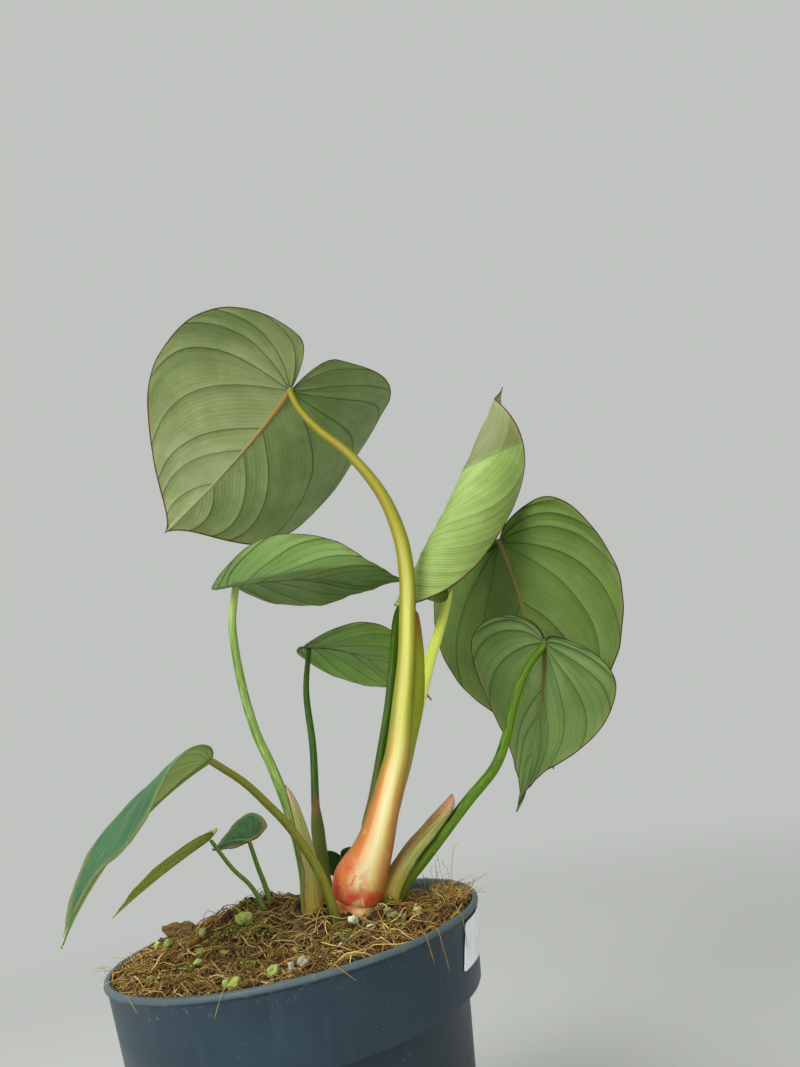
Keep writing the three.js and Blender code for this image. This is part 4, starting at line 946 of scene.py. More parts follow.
def build_soil(material):
    """The bed: a rough top and plain sides down to the pot's floor."""
    edge = inner_radius(SOIL_LEVEL - 4) - 0.25
    radii = np.r_[np.linspace(0, edge - 2, 120)[1:], edge - 1, edge]
    turns = circle(SOIL_SEGMENTS)
    r, turn = np.meshgrid(radii, turns, indexing="ij")
    x, y = r * np.cos(turn), r * np.sin(turn)
    z = rough_ground(x, y) - 1.5 * step(r, edge - 2, edge)
    rows = [np.stack([x, y, z], -1)]
    shelf = POT_HEIGHT - COLLAR_HEIGHT + WALL + 0.4
    for radius, height in ((inner_radius(shelf) - SOIL_GAP, shelf),
                           (body_radius(shelf - 2) - WALL - SOIL_GAP, shelf),
                           (body_radius(FLOOR) - WALL - SOIL_GAP, FLOOR + SOIL_GAP)):
        rows.append(polar(radius, turns, height)[None])
    top = np.concatenate(rows)
    centre = np.array([[0, 0, rough_ground(0.0, 0.0)], [0, 0, FLOOR + SOIL_GAP]])
    points = np.concatenate([centre, top.reshape(-1, 3)])
    faces = turned_faces(len(top), SOIL_SEGMENTS)
    piece = add_piece("soil_bed", points, faces, material, ["soil"])
    weld(piece, WELD_DISTANCE)


def standing_clear(x, y, room):
    """True where nothing that stands in the soil is within room of a point."""
    clear = np.ones(x.shape, bool)
    for stalk in STALKS.values():
        foot, radius = stalk["points"][0], stalk["radii"][0]
        clear &= np.hypot(x - foot[0], y - foot[1]) > radius + room
    for sheath in SHEATHS.values():
        foot, radius = sheath["points"][0], sheath["radii"][0]
        clear &= (np.hypot(x - foot[0], y - foot[1]) > radius + room) | (foot[2] > SOIL_LEVEL + 10)
    return clear


def add_strands(name, paths, radii, tints, material, sides=3, flat=1.0):
    """Thin closed strands in one mesh. paths is strands by points by 3, in mm; flat squashes them."""
    count, length, _ = paths.shape
    tangent = unit(np.gradient(paths, axis=1))
    beside = unit(np.cross(tangent, np.array([0.13, 0.21, 0.97])))
    over = np.cross(beside, tangent)
    turns = circle(sides)
    thin = np.array(radii)[:, None] * (0.55 + 0.45 * np.sin(np.linspace(0.35, np.pi - 0.35, length)))[None]
    around = np.cos(turns)[:, None] * beside[:, :, None] + flat * np.sin(turns)[:, None] * over[:, :, None]
    points = paths[:, :, None] + thin[..., None, None] * around
    one = np.array(grid_faces(length, sides, closed=True))
    each = np.arange(count)[:, None, None] * length * sides
    faces = (one[None] + each).reshape(-1, 4).tolist()
    for k in range(count):
        start = k * length * sides
        end = start + (length - 1) * sides
        faces.append(tuple(range(start, start + sides))[::-1])
        faces.append(tuple(range(end, end + sides)))
    marks = np.repeat(np.asarray(tints, float), length * sides, axis=0)
    add_piece(name, points.reshape(-1, 3), faces, material, marks={"tint": marks})


def random_tints(draw, count, pick=0.0, light=0.0):
    """A tint for each strand: what picks its colour and how light it is, from these values to 1."""
    parts = [draw.uniform(pick, 1, count), draw.uniform(light, 1, count), np.zeros(count), np.ones(count)]
    return np.stack(parts, -1)


def lying_strands(draw, count, short, long, thin, thick, lift, curl):
    """Curled strands that lie on the soil with their ends sunk in."""
    turn, out = draw.uniform(0, 2 * np.pi, count), STRAND_REACH * np.sqrt(draw.uniform(0, 1, count))
    heading = draw.uniform(0, 2 * np.pi, count)
    size = draw.uniform(short, long, count) * draw.uniform(0.7, 1.0, count)
    bend_rate = curl * draw.normal(0, 1.0, count)
    second = curl * draw.normal(0, 1.4, count)
    part = np.linspace(-0.5, 0.5, LYING_POINTS)[None]
    aim = heading[:, None] + bend_rate[:, None] * part + second[:, None] * part ** 2 * 2
    aim = aim + 0.35 * curl * np.sin(9 * part + heading[:, None])
    pace = size[:, None] / (LYING_POINTS - 1)
    x, y = [(out * wave(turn))[:, None] + np.cumsum(pace * wave(aim), axis=1)
            - size[:, None] * wave(heading)[:, None] / 2 for wave in (np.cos, np.sin)]
    limit = np.minimum(1, (RIM_RADIUS - 3.4) / np.maximum(np.hypot(x, y), 1e-6))
    x, y = x * limit, y * limit
    hump = np.sin(np.pi * (part + 0.5)) ** 0.8
    high = np.abs(draw.normal(0, lift, count))[:, None]
    z = soil_height(x, y) + 0.5 + high * hump - 1.3 * (1 - hump) + 0.35 * draw.normal(0, 1, x.shape)
    paths = np.stack([x, y, z], -1)
    kept = standing_clear(x, y, 0.6).all(axis=1)
    radii = draw.uniform(thin, thick, count)
    return paths[kept], radii[kept], random_tints(draw, count)[kept]


def standing_strands(draw, places, height, spread):
    """Fine strands that stand up out of the soil and curl over."""
    paths = []
    part = np.linspace(0, 1, STANDING_POINTS)
    for x, y in places:
        lean = draw.normal(0, spread, 2)
        curl = draw.normal(0, spread * 0.8, 2)
        top = height * draw.uniform(0.4, 1.0)
        z = soil_height(x, y) - 1.5
        line = np.stack([x + lean[0] * part + curl[0] * part ** 3, y + lean[1] * part + curl[1] * part ** 3,
                         z + top * (part - 0.32 * part ** 3)], -1)
        paths.append(line + np.r_[np.zeros((1, 3)), draw.normal(0, 0.35, (STANDING_POINTS - 1, 3))])
    return np.array(paths)


def lump_mesh(draw, size, detail, rough, squash=(1, 1, 1), turned=True):
    """Points and faces of one knobbly lump round the origin, turned at random or not."""
    ball = bmesh.new()
    bmesh.ops.create_icosphere(ball, subdivisions=detail, radius=1)
    points = np.array([v.co[:] for v in ball.verts])
    faces = [[v.index for v in face.verts] for face in ball.faces]
    ball.free()
    shape = 1 + rough * ripple(points, 1.0, int(draw.integers(1e9)), 5) * 0.5
    turn = Matrix.Rotation(draw.uniform(0, 2 * np.pi) * turned, 3, Vector(draw.normal(size=3)).normalized())
    points = (points * shape[:, None] * squash) @ np.array(turn).T
    return points * size, faces


def add_lumps(name, lumps, material, smooth=False):
    """Many lumps in one piece; each lump is (points, faces, tint)."""
    points, faces, tints, start = [], [], [], 0
    for one, own, tint in lumps:
        points.append(one)
        faces += [[k + start for k in face] for face in own]
        tints.append(np.tile((*tint, 0, 1), (len(one), 1)))
        start += len(one)
    marks = {"tint": np.concatenate(tints)}
    add_piece(name, np.concatenate(points), faces, material, marks=marks, smooth=smooth)


def anywhere(draw, reach):
    """A random place on the soil and how far it is from the middle."""
    turn, out = draw.uniform(0, 2 * np.pi), reach * np.sqrt(draw.uniform())
    return out * np.cos(turn), out * np.sin(turn), out


def add_crumbs(draw, material):
    """Loose crumbs of peat all over the soil."""
    crumbs = []
    for _ in range(CRUMBS):
        x, y, out = anywhere(draw, CRUMB_REACH)
        size = draw.uniform(0.5, 1.9) * draw.uniform(0.6, 1.0)
        if not standing_clear(x, y, size) or out + size > CRUMB_LIMIT:
            continue
        points, faces = lump_mesh(draw, size, 1, 0.5, (1, 0.8, 0.6))
        height = soil_height(x, y) + draw.uniform(-0.3, 0.6)
        crumbs.append((points + [x, y, height], faces, (draw.uniform(), draw.uniform())))
    add_lumps("soil_crumbs", crumbs, material)


def add_moss(draw, material):
    """Patches of small flat moss leaves."""
    moss = []
    for _ in range(MOSS_PATCHES):
        middle_x, middle_y, _ = anywhere(draw, MOSS_REACH)
        patch = draw.uniform(2.5, 6.5)
        for _ in range(int(12 * patch)):
            x, y = middle_x + draw.normal(0, patch / 2), middle_y + draw.normal(0, patch / 2)
            if np.hypot(x, y) > MOSS_LIMIT or not standing_clear(x, y, 1):
                continue
            points, faces = lump_mesh(draw, draw.uniform(0.6, 1.4), 1, 0.3, (1, 0.5, 0.25))
            height = soil_height(x, y) + draw.uniform(0.8, 2.2)
            moss.append((points + [x, y, height], faces, (draw.uniform(), draw.uniform())))
    add_lumps("soil_moss", moss, material)


def add_perlite(draw, material):
    """Pale grains at the places seen in the photo, some gone green."""
    grains = []
    for x, y, size, green in PERLITE:
        points, faces = lump_mesh(draw, PERLITE_SCALE * size, 3, 0.45, (1, 0.85, 0.75))
        height = rough_ground(x, y) + 0.6 * size + 0.8
        grains.append((points + [x, y, height], faces, (green, draw.uniform())))
    add_lumps("soil_perlite", grains, material, smooth=True)


def add_bark(draw, material):
    """The bark chip at the left, split into layers."""
    chip, faces = lump_mesh(draw, BARK["size"], 4, 0.3, BARK["squash"], turned=False)
    layers = np.round(ripple(chip * [0.25, 1, 1], 1.8, 8) * 2.5) / 2.5
    chip = chip + 0.75 * layers[:, None] * unit(chip) + draw.normal(0, 0.12, chip.shape)
    chip = chip + [BARK["x"], BARK["y"], soil_height(BARK["x"], BARK["y"]) + BARK["lift"]]
    add_lumps("soil_bark", [(chip, faces, (0.5, 0.7))], material)


def add_tuft(draw, material):
    """Strands that stand up: the tuft at the right rim, a few taller ones and single ones."""
    angle = np.radians(draw.uniform(*RIM_TUFT["turn"], RIM_TUFT["strands"]))
    out = draw.uniform(*RIM_TUFT["out"], RIM_TUFT["strands"])
    places = np.stack([out * np.cos(angle), out * np.sin(angle)], -1)
    groups = [(places, RIM_TUFT["height"], 5.0), (0.94 * places[:RIM_TUFT["long"]], RIM_TUFT["tall"], 4.5),
              (np.array(WISPS, float), WISP_HEIGHT, 5.0), (np.array(STRAYS, float), STRAY_HEIGHT, 5.0)]
    tuft = np.concatenate([standing_strands(draw, *group) for group in groups])
    radii = draw.uniform(0.09, 0.16, len(tuft))
    add_strands("soil_tuft", tuft, radii, random_tints(draw, len(tuft), 0.4, 0.5), material, sides=4)


def add_rim_strands(material):
    """Strands that hang over the rim."""
    over = []
    part = np.linspace(0, 1, 12)
    for turn, fall, drift in OVER_RIM:
        angle = np.radians(turn + drift * part)
        out = np.interp(part, [0, 0.35, 0.45, 1], [78, 84.6, 86.0, 85.6 - 0.1 * fall])
        rise = np.interp(part, [0, 0.3, 0.42, 1], [SOIL_LEVEL, 152.2, 151.2, POT_HEIGHT - fall])
        over.append(polar(out, angle, rise))
    tints = np.tile([0.6, 0.8, 0, 1], (len(over), 1))
    radii = np.full(len(over), OVER_RIM_RADIUS)
    add_strands("soil_fibres_over_rim", np.array(over), radii, tints, material, sides=4)


def build_litter(materials):
    """What lies on the soil. The pieces share one row of random values, so their order matters."""
    draw = np.random.default_rng(LITTER_SEED)
    fibre = materials["fibre"]
    add_strands("soil_straw", *lying_strands(draw, **STRAW), fibre, sides=6, flat=0.4)
    add_strands("soil_fibres_coarse", *lying_strands(draw, **COARSE_FIBRES), fibre, sides=4)
    add_strands("soil_fibres_fine", *lying_strands(draw, **FINE_FIBRES), fibre)
    add_crumbs(draw, materials["crumb"])
    add_moss(draw, materials["moss"])
    add_perlite(draw, materials["perlite"])
    add_bark(draw, materials["bark"])
    add_tuft(draw, fibre)
    add_rim_strands(fibre)


# Pot

def lathe(profile, segments):
    """Points and faces of a closed profile turned round the upright axis, ends on the axis."""
    middle = np.array(profile[1:-1])
    ring = polar(middle[:, :1], circle(segments), middle[:, 1:])
    points = np.concatenate([[[0, 0, profile[0][1]], [0, 0, profile[-1][1]]], ring.reshape(-1, 3)])
    return points, turned_faces(len(middle), segments)


def build_pot(material):
    """A thin pot with a rolled lip, a tall collar and drain holes."""
    step_height = POT_HEIGHT - COLLAR_HEIGHT
    lip = POT_HEIGHT - LIP_HEIGHT
    inner = RIM_RADIUS - WALL - LIP_OUT
    arc = np.radians(np.linspace(*LIP_ARC, 9))
    rolled = [(RIM_RADIUS - 1.1 + 1.1 * np.cos(t), lip + 1.5 + 1.5 * np.sin(t)) for t in arc]
    outside = [(0, 0), (20, 0), (FOOT_RADIUS - 3, 0), (FOOT_RADIUS - 1.0, 0.3), (FOOT_RADIUS - 0.2, 1.2),
               *[(body_radius(z), z) for z in (4, 40, 80, step_height - 1.5)],
               (body_radius(step_height) + 0.5, step_height - 0.3),
               (COLLAR_FOOT_RADIUS - 1.2, step_height), (COLLAR_FOOT_RADIUS - 0.3, step_height + 0.35),
               *[(collar_radius(z), z) for z in (step_height + 1.2, 130, lip - 0.8)],
               (collar_radius(lip) + 0.25, lip - 0.1)]
    inside = [(inner + 0.3, POT_HEIGHT - 0.1), (inner, POT_HEIGHT - 0.6),
              *[(inner_radius(z), z) for z in (130, step_height + WALL + 0.1)],
              (body_radius(step_height) - WALL, step_height + WALL - 0.6),
              *[(body_radius(z) - WALL, z) for z in (60, FLOOR + 1)],
              (body_radius(FLOOR) - WALL - 1, FLOOR), (0, FLOOR)]
    points, faces = lathe([*outside, *rolled, *inside], POT_SEGMENTS)
    pot = add_piece("pot_shell", points, faces, material, ["pot"])
    weld(pot, WELD_DISTANCE)
    cutter = bmesh.new()
    for k in range(DRAIN_HOLES):
        turn = 2 * np.pi * (k + 0.5) / DRAIN_HOLES
        spot = Vector((DRAIN_CIRCLE * np.cos(turn), DRAIN_CIRCLE * np.sin(turn), 0)) * MM
        size = DRAIN_RADIUS * MM
        bmesh.ops.create_cone(cutter, cap_ends=True, segments=40, radius1=size, radius2=size,
                              depth=12 * MM, matrix=Matrix.Translation(spot))
    mesh = bpy.data.meshes.new("drain_tool")
    cutter.to_mesh(mesh)
    cutter.free()
    tool = bpy.data.objects.new("drain_tool", mesh)
    bpy.context.scene.collection.objects.link(tool)
    hole = pot.modifiers.new("drain", "BOOLEAN")
    hole.object, hole.operation, hole.solver = tool, "DIFFERENCE", "EXACT"
    cut = bpy.data.meshes.new_from_object(pot.evaluated_get(bpy.context.evaluated_depsgraph_get()))
    pot.modifiers.clear()
    pot.data = cut
    bpy.data.objects.remove(tool)


def build_sticker(material):
    """The bare label, its corners rounded and one end lifting a little."""
    columns, rows = 60, 30
    u, v = np.meshgrid(np.linspace(-1, 1, columns), np.linspace(-1, 1, rows), indexing="ij")
    # Rounded corners, then faint creases and one end that lifts
    round_off = 0.06 * np.maximum(0, np.abs(u) - 0.93) / 0.07
    v = v * (1 - round_off)
    turn = np.radians(np.interp(u, [-1, 1], [STICKER["from"], STICKER["to"]]) + STICKER["slant"] / 2 * v)
    z = np.interp(v, [-1, 1], [STICKER["low"], STICKER["high"]])
    crease = 0.10 * ripple(np.stack([u * 20, v * 11], -1), 9, 31)
    lift = STICKER["lift"] + np.abs(crease) + 0.45 * step(u + 0.35 * v, 0.95, 1.35)
    skins = []
    for outward in (0.0, STICKER["thick"]):
        skins.append(polar(collar_radius(z) + lift + outward, turn, z).reshape(-1, 3))
    size = columns * rows
    outer = grid_faces(columns, rows, size)
    faces = outer + [tuple(reversed([k - size for k in face])) for face in outer]
    ring = [k * rows for k in range(columns)] + [(columns - 1) * rows + k for k in range(1, rows)]
    ring += [k * rows + rows - 1 for k in range(columns - 2, -1, -1)] + list(range(rows - 2, 0, -1))
    for p, q in zip(ring, ring[1:] + ring[:1]):
        faces.append((p, q, q + size, p + size))
    piece = add_piece("sticker_label", np.concatenate(skins), faces, material, ["sticker"])
    weld(piece, WELD_DISTANCE)


# Crown

def build_crown(material):
    """The short pale stem below the main stalk, with leaf scars round it and a root nub."""
    rows, sides = 46, 72
    z, turn = np.meshgrid(np.linspace(RHIZOME["low"], RHIZOME["high"] - 1.0, rows),
                          circle(sides), indexing="ij")
    spots = polar(8, turn, z)
    # Rings of leaf scars, and a stem that is narrower in the soil
    scars = 0.3 * np.abs(np.sin((z - RHIZOME["low"]) * 0.62 + 0.4 * np.sin(turn))) ** 6
    waist = 1 - 0.02 * step(z, 152, 159) - 0.30 * (1 - step(z, 140, 147))
    radius = (RHIZOME["radius"] + 0.5 * ripple(spots, 8, 41) + 0.15 * ripple(spots, 2, 42) - scars) * waist
    skin = polar(radius, turn, z) + [RHIZOME["x"], RHIZOME["y"], 0]
    faces = tube_faces(rows, sides)
    nub, nub_faces = lump_mesh(np.random.default_rng(44), 1.0, 3, 0.1)
    points = np.concatenate([skin.reshape(-1, 3), nub * ROOT_NUB["size"] + ROOT_NUB["place"]])
    faces += [[k + rows * sides for k in face] for face in nub_faces]
    add_piece("rhizome_stem", points, faces, material, ["rhizome"])


# Finishes of single pieces

def main_stalk_material():
    """The thick stalk: cream in front, with a painted highlight there and painted shade darker towards its
    edges, orange-brown on its left, red blotches at its base.
    """
    shade = Shader("petiole_cream", Specular_IOR_Level=0.3, Subsurface_Weight=0.15, Subsurface_Scale=0.006,
                   Subsurface_Radius=(1.0, 0.7, 0.3))
    height, turn_x, turn_y, _ = shade.mark("stalk")
    streaks = shade.long_streaks(turn_x, turn_y, height, 2.2, 6.0)
    around = shade.calc("MULTIPLY_ADD", streaks, 0.22, shade.calc("SUBTRACT", turn_x, 0.11))
    # Colours round the stalk at its base, its middle and its top, with a painted highlight as the pale band
    # across its front and painted shade darker towards both edges
    low = shade.ramp(around, [(0.0, (122, 94, 36)), (0.15, (184, 118, 54)), (0.28, (208, 146, 82)),
                              (0.41, (234, 208, 150)), (0.56, (238, 228, 176)), (0.70, (226, 206, 128)),
                              (0.85, (204, 150, 76)), (1.0, (164, 108, 46))])
    mid = shade.ramp(around, [(0.0, (122, 132, 36)), (0.18, (150, 152, 50)), (0.32, (180, 176, 78)),
                              (0.45, (198, 198, 100)), (0.58, (202, 204, 104)), (0.70, (184, 186, 74)),
                              (0.85, (162, 166, 54)), (1.0, (130, 132, 38))])
    high = shade.ramp(around, [(0.0, (128, 120, 32)), (0.3, (144, 134, 36)), (0.5, (146, 138, 34)),
                               (0.7, (136, 134, 24)), (1.0, (112, 118, 18))])
    shade.skin = shade.mix(shade.fade(height, 0.13, 0.29), low, mid)
    shade.coat(high, height, 0.40, 0.66)
    # Orange blush, red blotches and a red ring at the base, then pale patches
    blush = shade.fade(around, 0.22, 0.46, 1.0, 0.12)
    blush = shade.times(shade.fade(height, 0.01, 0.13, 0.85, 0.0), blush)
    shade.coat((222, 122, 62), blush)
    blotch = shade.fade(shade.noise(6, 3, bend=0.6), 0.47, 0.58)
    red = shade.times(shade.fade(height, 0.015, 0.065, 1.0, 0.0), blotch)
    red = shade.times(red, shade.fade(around, 0.3, 0.8, 0.95, 0.3))
    shade.coat((208, 68, 42), red)
    patchy = shade.fade(shade.noise(9, 2), 0.4, 0.6, 0.45, 0.95)
    ring = shade.times(shade.fade(height, 0.006, 0.026, 1.0, 0.0), patchy)
    shade.coat((206, 76, 44), ring)
    pale = shade.fade(shade.noise(5, 3), 0.56, 0.72, 0.0, 0.3)
    pale = shade.times(pale, shade.fade(height, 0.02, 0.22, 1.0, 0.0))
    shade.coat((246, 210, 156), pale)
    relief = shade.bump(streaks, 0.3)
    relief = shade.bump(shade.noise(0.9, 2), 0.05, relief)
    return shade.finish(shade.fade(streaks, 0.3, 0.7, 0.30, 0.44), relief)


def crown_material():
    """Cream stem skin with orange scars, darker where it goes into the soil."""
    shade = Shader("rhizome_skin", Subsurface_Weight=0.15, Subsurface_Scale=0.005, Specular_IOR_Level=0.35)
    height = shade.node("ShaderNodeSeparateXYZ", {0: shade.place()}).outputs[2]
    blotch = shade.noise(6, 4, bend=0.5)
    shade.skin = shade.mix(shade.fade(blotch, 0.35, 0.6), (244, 206, 152), (236, 176, 112))
    shade.coat((214, 106, 64), shade.noise(4, 3), 0.55, 0.68, 0.0, 0.45)
    shade.coat((222, 104, 60), height, 0.1535, 0.1590, 0.0, 0.7)
    shade.coat((96, 62, 40), height, 0.147, 0.151, 0.8, 0.0)
    relief = shade.bump(shade.noise(1.4, 4), 0.2)
    return shade.finish(shade.fade(blotch, 0.3, 0.7, 0.38, 0.5), relief)


def sheath_material(name, outer, streak, edge, inner, tip, shine, edge_from=0.86, ridge=None):
    """Papery sheath: fine long streaks, a coloured edge, a drying tip."""
    shade = Shader(name, Specular_IOR_Level=0.25, Subsurface_Weight=0.12, Subsurface_Scale=0.003)
    height, side, across, face = shade.mark("sheath")
    streaks = shade.long_streaks(shade.times(across, 14.0), 0.0, height, 1.0, 2.2)
    shade.skin = shade.mix(shade.fade(streaks, 0.35, 0.65), outer, streak)
    shade.coat(inner, face, 0.4, 0.6, 0.0, 0.75)
    if ridge:
        # The keel along it
        middle = shade.calc("ABSOLUTE", shade.calc("SUBTRACT", across, SHEATH_RIDGE))
        shade.coat(ridge, middle, 0.10, 0.22, 0.8, 0.0)
    shade.coat((180, 154, 54), height, 0.1, 0.5, 0.8, 0.0)
    shade.coat(tip, height, 0.72, 1.0, 0.0, 0.85)
    shade.coat(edge, side, edge_from, 0.985)
    shade.coat(edge, shade.noise(2.5, 3), 0.60, 0.74, 0.0, 0.45)
    relief = shade.bump(streaks, 0.30)
    return shade.finish(shade.fade(streaks, 0.3, 0.7, shine - 0.1, shine + 0.12), relief)


# Specks on the pot: size in mm, noise level where they start, colour, strength
POT_SPECKS = ((1.5, 0.715, (168, 174, 172), 0.7), (2.4, 0.72, (112, 92, 70), 0.85),
              (1.0, 0.755, (214, 206, 190), 0.9))


def pot_material():
    """Moulded slate-blue plastic with specks of dirt, pale scuffs, faint upright streaks and a painted
    highlight on its lip.
    """
    shade = Shader("pot_plastic", Specular_IOR_Level=0.28)
    place = shade.place()
    z = shade.node("ShaderNodeSeparateXYZ", {0: place}).outputs[2]
    cloud = shade.noise(38, 4)
    shade.skin = shade.mix(shade.fade(cloud, 0.3, 0.7), (38, 56, 67), (44, 63, 75))
    runs = shade.noise(5, 3, vector=shade.vector("MULTIPLY", place, (1.0, 1.0, 0.12))[0])
    shade.coat((66, 83, 93), runs, 0.5, 0.75, 0.0, 0.20)
    # A painted highlight lightens the lip's top; below the collar's step the body is darker
    shade.coat((82, 99, 104), z, 0.1476, 0.1484, 0.0, 0.8)
    shade.coat((40, 52, 61), z, 0.1135, 0.1165, 0.8, 0.0)
    patches = shade.fade(shade.noise(16, 2), 0.52, 0.64)
    for size, low, colour, share in POT_SPECKS:
        speck = shade.times(shade.fade(shade.noise(size, 2), low, low + 0.02, 0.0, share), patches)
        shade.coat(colour, speck)
    # Grime under the lip and short scratches
    dirt = shade.fade(shade.noise(3.0, 4), 0.56, 0.70, 0.0, 0.5)
    grime = shade.times(shade.fade(z, 0.139, 0.149), dirt)
    shade.coat((112, 108, 96), grime)
    scratches = shade.noise(2.6, 5, 0.7, vector=shade.vector("MULTIPLY", place, (1.0, 1.0, 3.5))[0])
    scuffs = shade.times(shade.fade(scratches, 0.64, 0.70, 0.0, 0.5), patches)
    shade.coat((120, 134, 142), scuffs)
    relief = shade.bump(shade.noise(0.7, 2), 0.03)
    return shade.finish(shade.fade(cloud, 0.3, 0.7, 0.38, 0.5), relief)


def soil_material():
    """Dark clods with lighter and greenish patches."""
    shade = Shader("soil_bed", Specular_IOR_Level=0.25, Roughness=0.95)
    clod = shade.noise(4.5, 5, 0.7)
    shade.skin = shade.mix(shade.fade(clod, 0.36, 0.66), (28, 19, 11), (94, 68, 38))
    shade.coat((92, 84, 44), shade.noise(13, 3), 0.52, 0.66, 0.0, 0.5)
    return shade.finish(normal=shade.bump(shade.noise(1.4, 4, 0.7), 0.7))


def tinted_material(name, roughness, grain, stops):
    """For small things that vary: the tint's red picks the colour and its green the shade."""
    shade = Shader(name, Specular_IOR_Level=0.3, Roughness=roughness)
    pick, light, _, _ = shade.mark("tint")
    shade.skin = shade.ramp(pick, stops)
    shade.coat((38, 26, 16), light, 0.0, 1.0, 0.55, 0.0)
    shade.coat((60, 44, 28), shade.noise(grain * 3, 3), 0.4, 0.7, 0.0, 0.3)
    return shade.finish(normal=shade.bump(shade.noise(grain, 3), 0.15))


def paper_material():
    """Slightly worn white paper."""
    shade = Shader("sticker_paper", Specular_IOR_Level=0.4)
    cloud = shade.noise(7, 4)
    shade.skin = shade.mix(shade.fade(cloud, 0.35, 0.7), (247, 250, 253), (228, 234, 240))
    shade.coat((168, 166, 156), shade.noise(1.5, 3), 0.64, 0.72, 0.0, 0.35)
    return shade.finish(shade.fade(cloud, 0.3, 0.7, 0.35, 0.55), shade.bump(shade.noise(0.5, 3), 0.02))


# Build it all

def build_leaves():
    """Every leaf with its own finish."""
    finishes = {
        "leaf_a": dict(under=(142, 152, 104), deep=(126, 136, 88), upper=(58, 92, 40), vein=(66, 84, 40),
                       rib=(160, 128, 72), hazy=0.7, strong=0.95, faint=0.34, fine=0.16, edge_width=2.1,
                       edge=(56, 28, 24)),
        # On leaf_b, crease paints shade on the turned-over part near its tip and a dark line along the fold
        "leaf_b": dict(under=(160, 184, 104), deep=(146, 170, 90), upper=(150, 180, 90), vein=(70, 100, 42),
                       rib=(186, 168, 90), edge=(76, 28, 22), haze=(186, 170, 104), hazy=0.4, strong=0.12,
                       faint=0.45, fine=0.34, edge_width=1.9,
                       crease=((-0.25, -0.2, 1.0), 0.3244, (112, 116, 74))),
        "leaf_c": dict(under=(111, 134, 68), deep=(102, 123, 58), upper=(48, 82, 36), vein=(64, 86, 38),
                       rib=(126, 116, 60), edge=(54, 36, 26), edge_width=1.5, faint=0.36, fine=0.18),
        "leaf_d": dict(under=(118, 144, 81), deep=(103, 126, 68), upper=(56, 96, 40), vein=(56, 82, 40),
                       rib=(108, 98, 50), faint=0.35, fine=0.24, edge=(52, 38, 28), edge_width=1.4),
        # On leaf_e, painted_sheen_half paints a highlight: the sheen on its right half
        "leaf_e": dict(under=(134, 158, 88), deep=(120, 144, 76), upper=(92, 132, 62), vein=(52, 76, 34),
                       rib=(80, 112, 52), faint=0.35, shine=0.35, edge=(70, 50, 34),
                       painted_sheen_half=((172, 208, 124), 17.0, 24.0)),
        "leaf_f": dict(under=(140, 178, 84), deep=(128, 166, 76), upper=(74, 110, 48), vein=(68, 92, 44),
                       rib=(84, 100, 50), faint=0.4, edge=(70, 52, 36)),
        "leaf_g": dict(under=(180, 204, 124), deep=(166, 190, 110), upper=(56, 102, 62), vein=(96, 132, 68),
                       rib=(120, 134, 62), edge=(104, 124, 76), edge_width=0.4, strong=0.4, faint=0.15,
                       fine=0.08, ridges=0, glow=0.0, upper_vein=(84, 128, 84)),
        "leaf_h": dict(under=(196, 212, 108), deep=(180, 198, 92), upper=(96, 124, 54), vein=(110, 128, 52),
                       rib=(130, 142, 60), spots=0.35, strong=0.3, faint=0.1, fine=0.05, ridges=0,
                       glow=0.0, shine=0.05, edge=(130, 112, 60), haze=(150, 160, 76), edge_width=0.3),
        "leaf_i": dict(under=(60, 96, 46), deep=(50, 84, 38), upper=(38, 76, 36), vein=(40, 70, 36),
                       rib=(84, 110, 58), edge=(104, 84, 54), spots=0.8, strong=0.15, faint=0.1, fine=0.05,
                       ridges=0, glow=0.0, edge_width=0.3, shine=0.1, upper_vein=(62, 98, 56)),
        "leaf_j": dict(under=(92, 158, 78), deep=(80, 144, 68), upper=(76, 150, 72), vein=(56, 104, 52),
                       rib=(70, 110, 54), fine=0.06, ridges=0, glow=0.0, edge_width=0.3),
    }
    for seed, (name, leaf) in enumerate(LEAVES.items()):
        material = leaf_material(name + "_skin", LINES_PER_MM * leaf["length"], **finishes[name])
        build_leaf(name, leaf, material, seed)


def build_stalks():
    """Every stalk with its own finish."""
    # In each finish, the darker side colour is painted shade on the stalk's left half
    green = dict(front=(54, 88, 14), side=(38, 66, 8), streak=(76, 108, 36), foot=(84, 100, 28))
    young = dict(front=(96, 132, 44), side=(72, 106, 26), streak=(122, 152, 66), foot=(92, 120, 36))
    finishes = {
        "stalk_b": ("petiole_lime", dict(front=(244, 255, 112), side=(220, 246, 72), streak=(248, 255, 156),
                                         foot=(150, 150, 50), tip=(240, 255, 120))),
        "stalk_c": ("petiole_green", dict(front=(62, 94, 2), side=(44, 72, 2), streak=(82, 112, 10),
                                          foot=(112, 94, 36))),
        "stalk_d": ("petiole_green", dict(front=(82, 118, 6), side=(52, 86, 2), streak=(112, 146, 28),
                                          foot=(104, 118, 30))),
        # stalk_e's pale tip colour is a painted highlight near its leaf
        "stalk_e": ("petiole_olive", dict(front=(116, 148, 62), side=(78, 112, 30), streak=(166, 184, 110),
                                          foot=(140, 146, 66), tip=(186, 208, 122))),
        "stalk_f": ("petiole_green", green),
        "stalk_g": ("petiole_olive", dict(front=(128, 130, 44), side=(98, 104, 26), streak=(146, 146, 66),
                                          foot=(66, 76, 22))),
        "stalk_h": ("petiole_green", young),
        "stalk_i": ("petiole_green", young),
        "stalk_j": ("petiole_green", green),
    }
    build_stalk("stalk_a", STALKS["stalk_a"], main_stalk_material(), 60)
    for seed, (name, (slot, finish)) in enumerate(finishes.items()):
        build_stalk(name, STALKS[name], stalk_material(name + "_skin", **finish), 61 + seed)


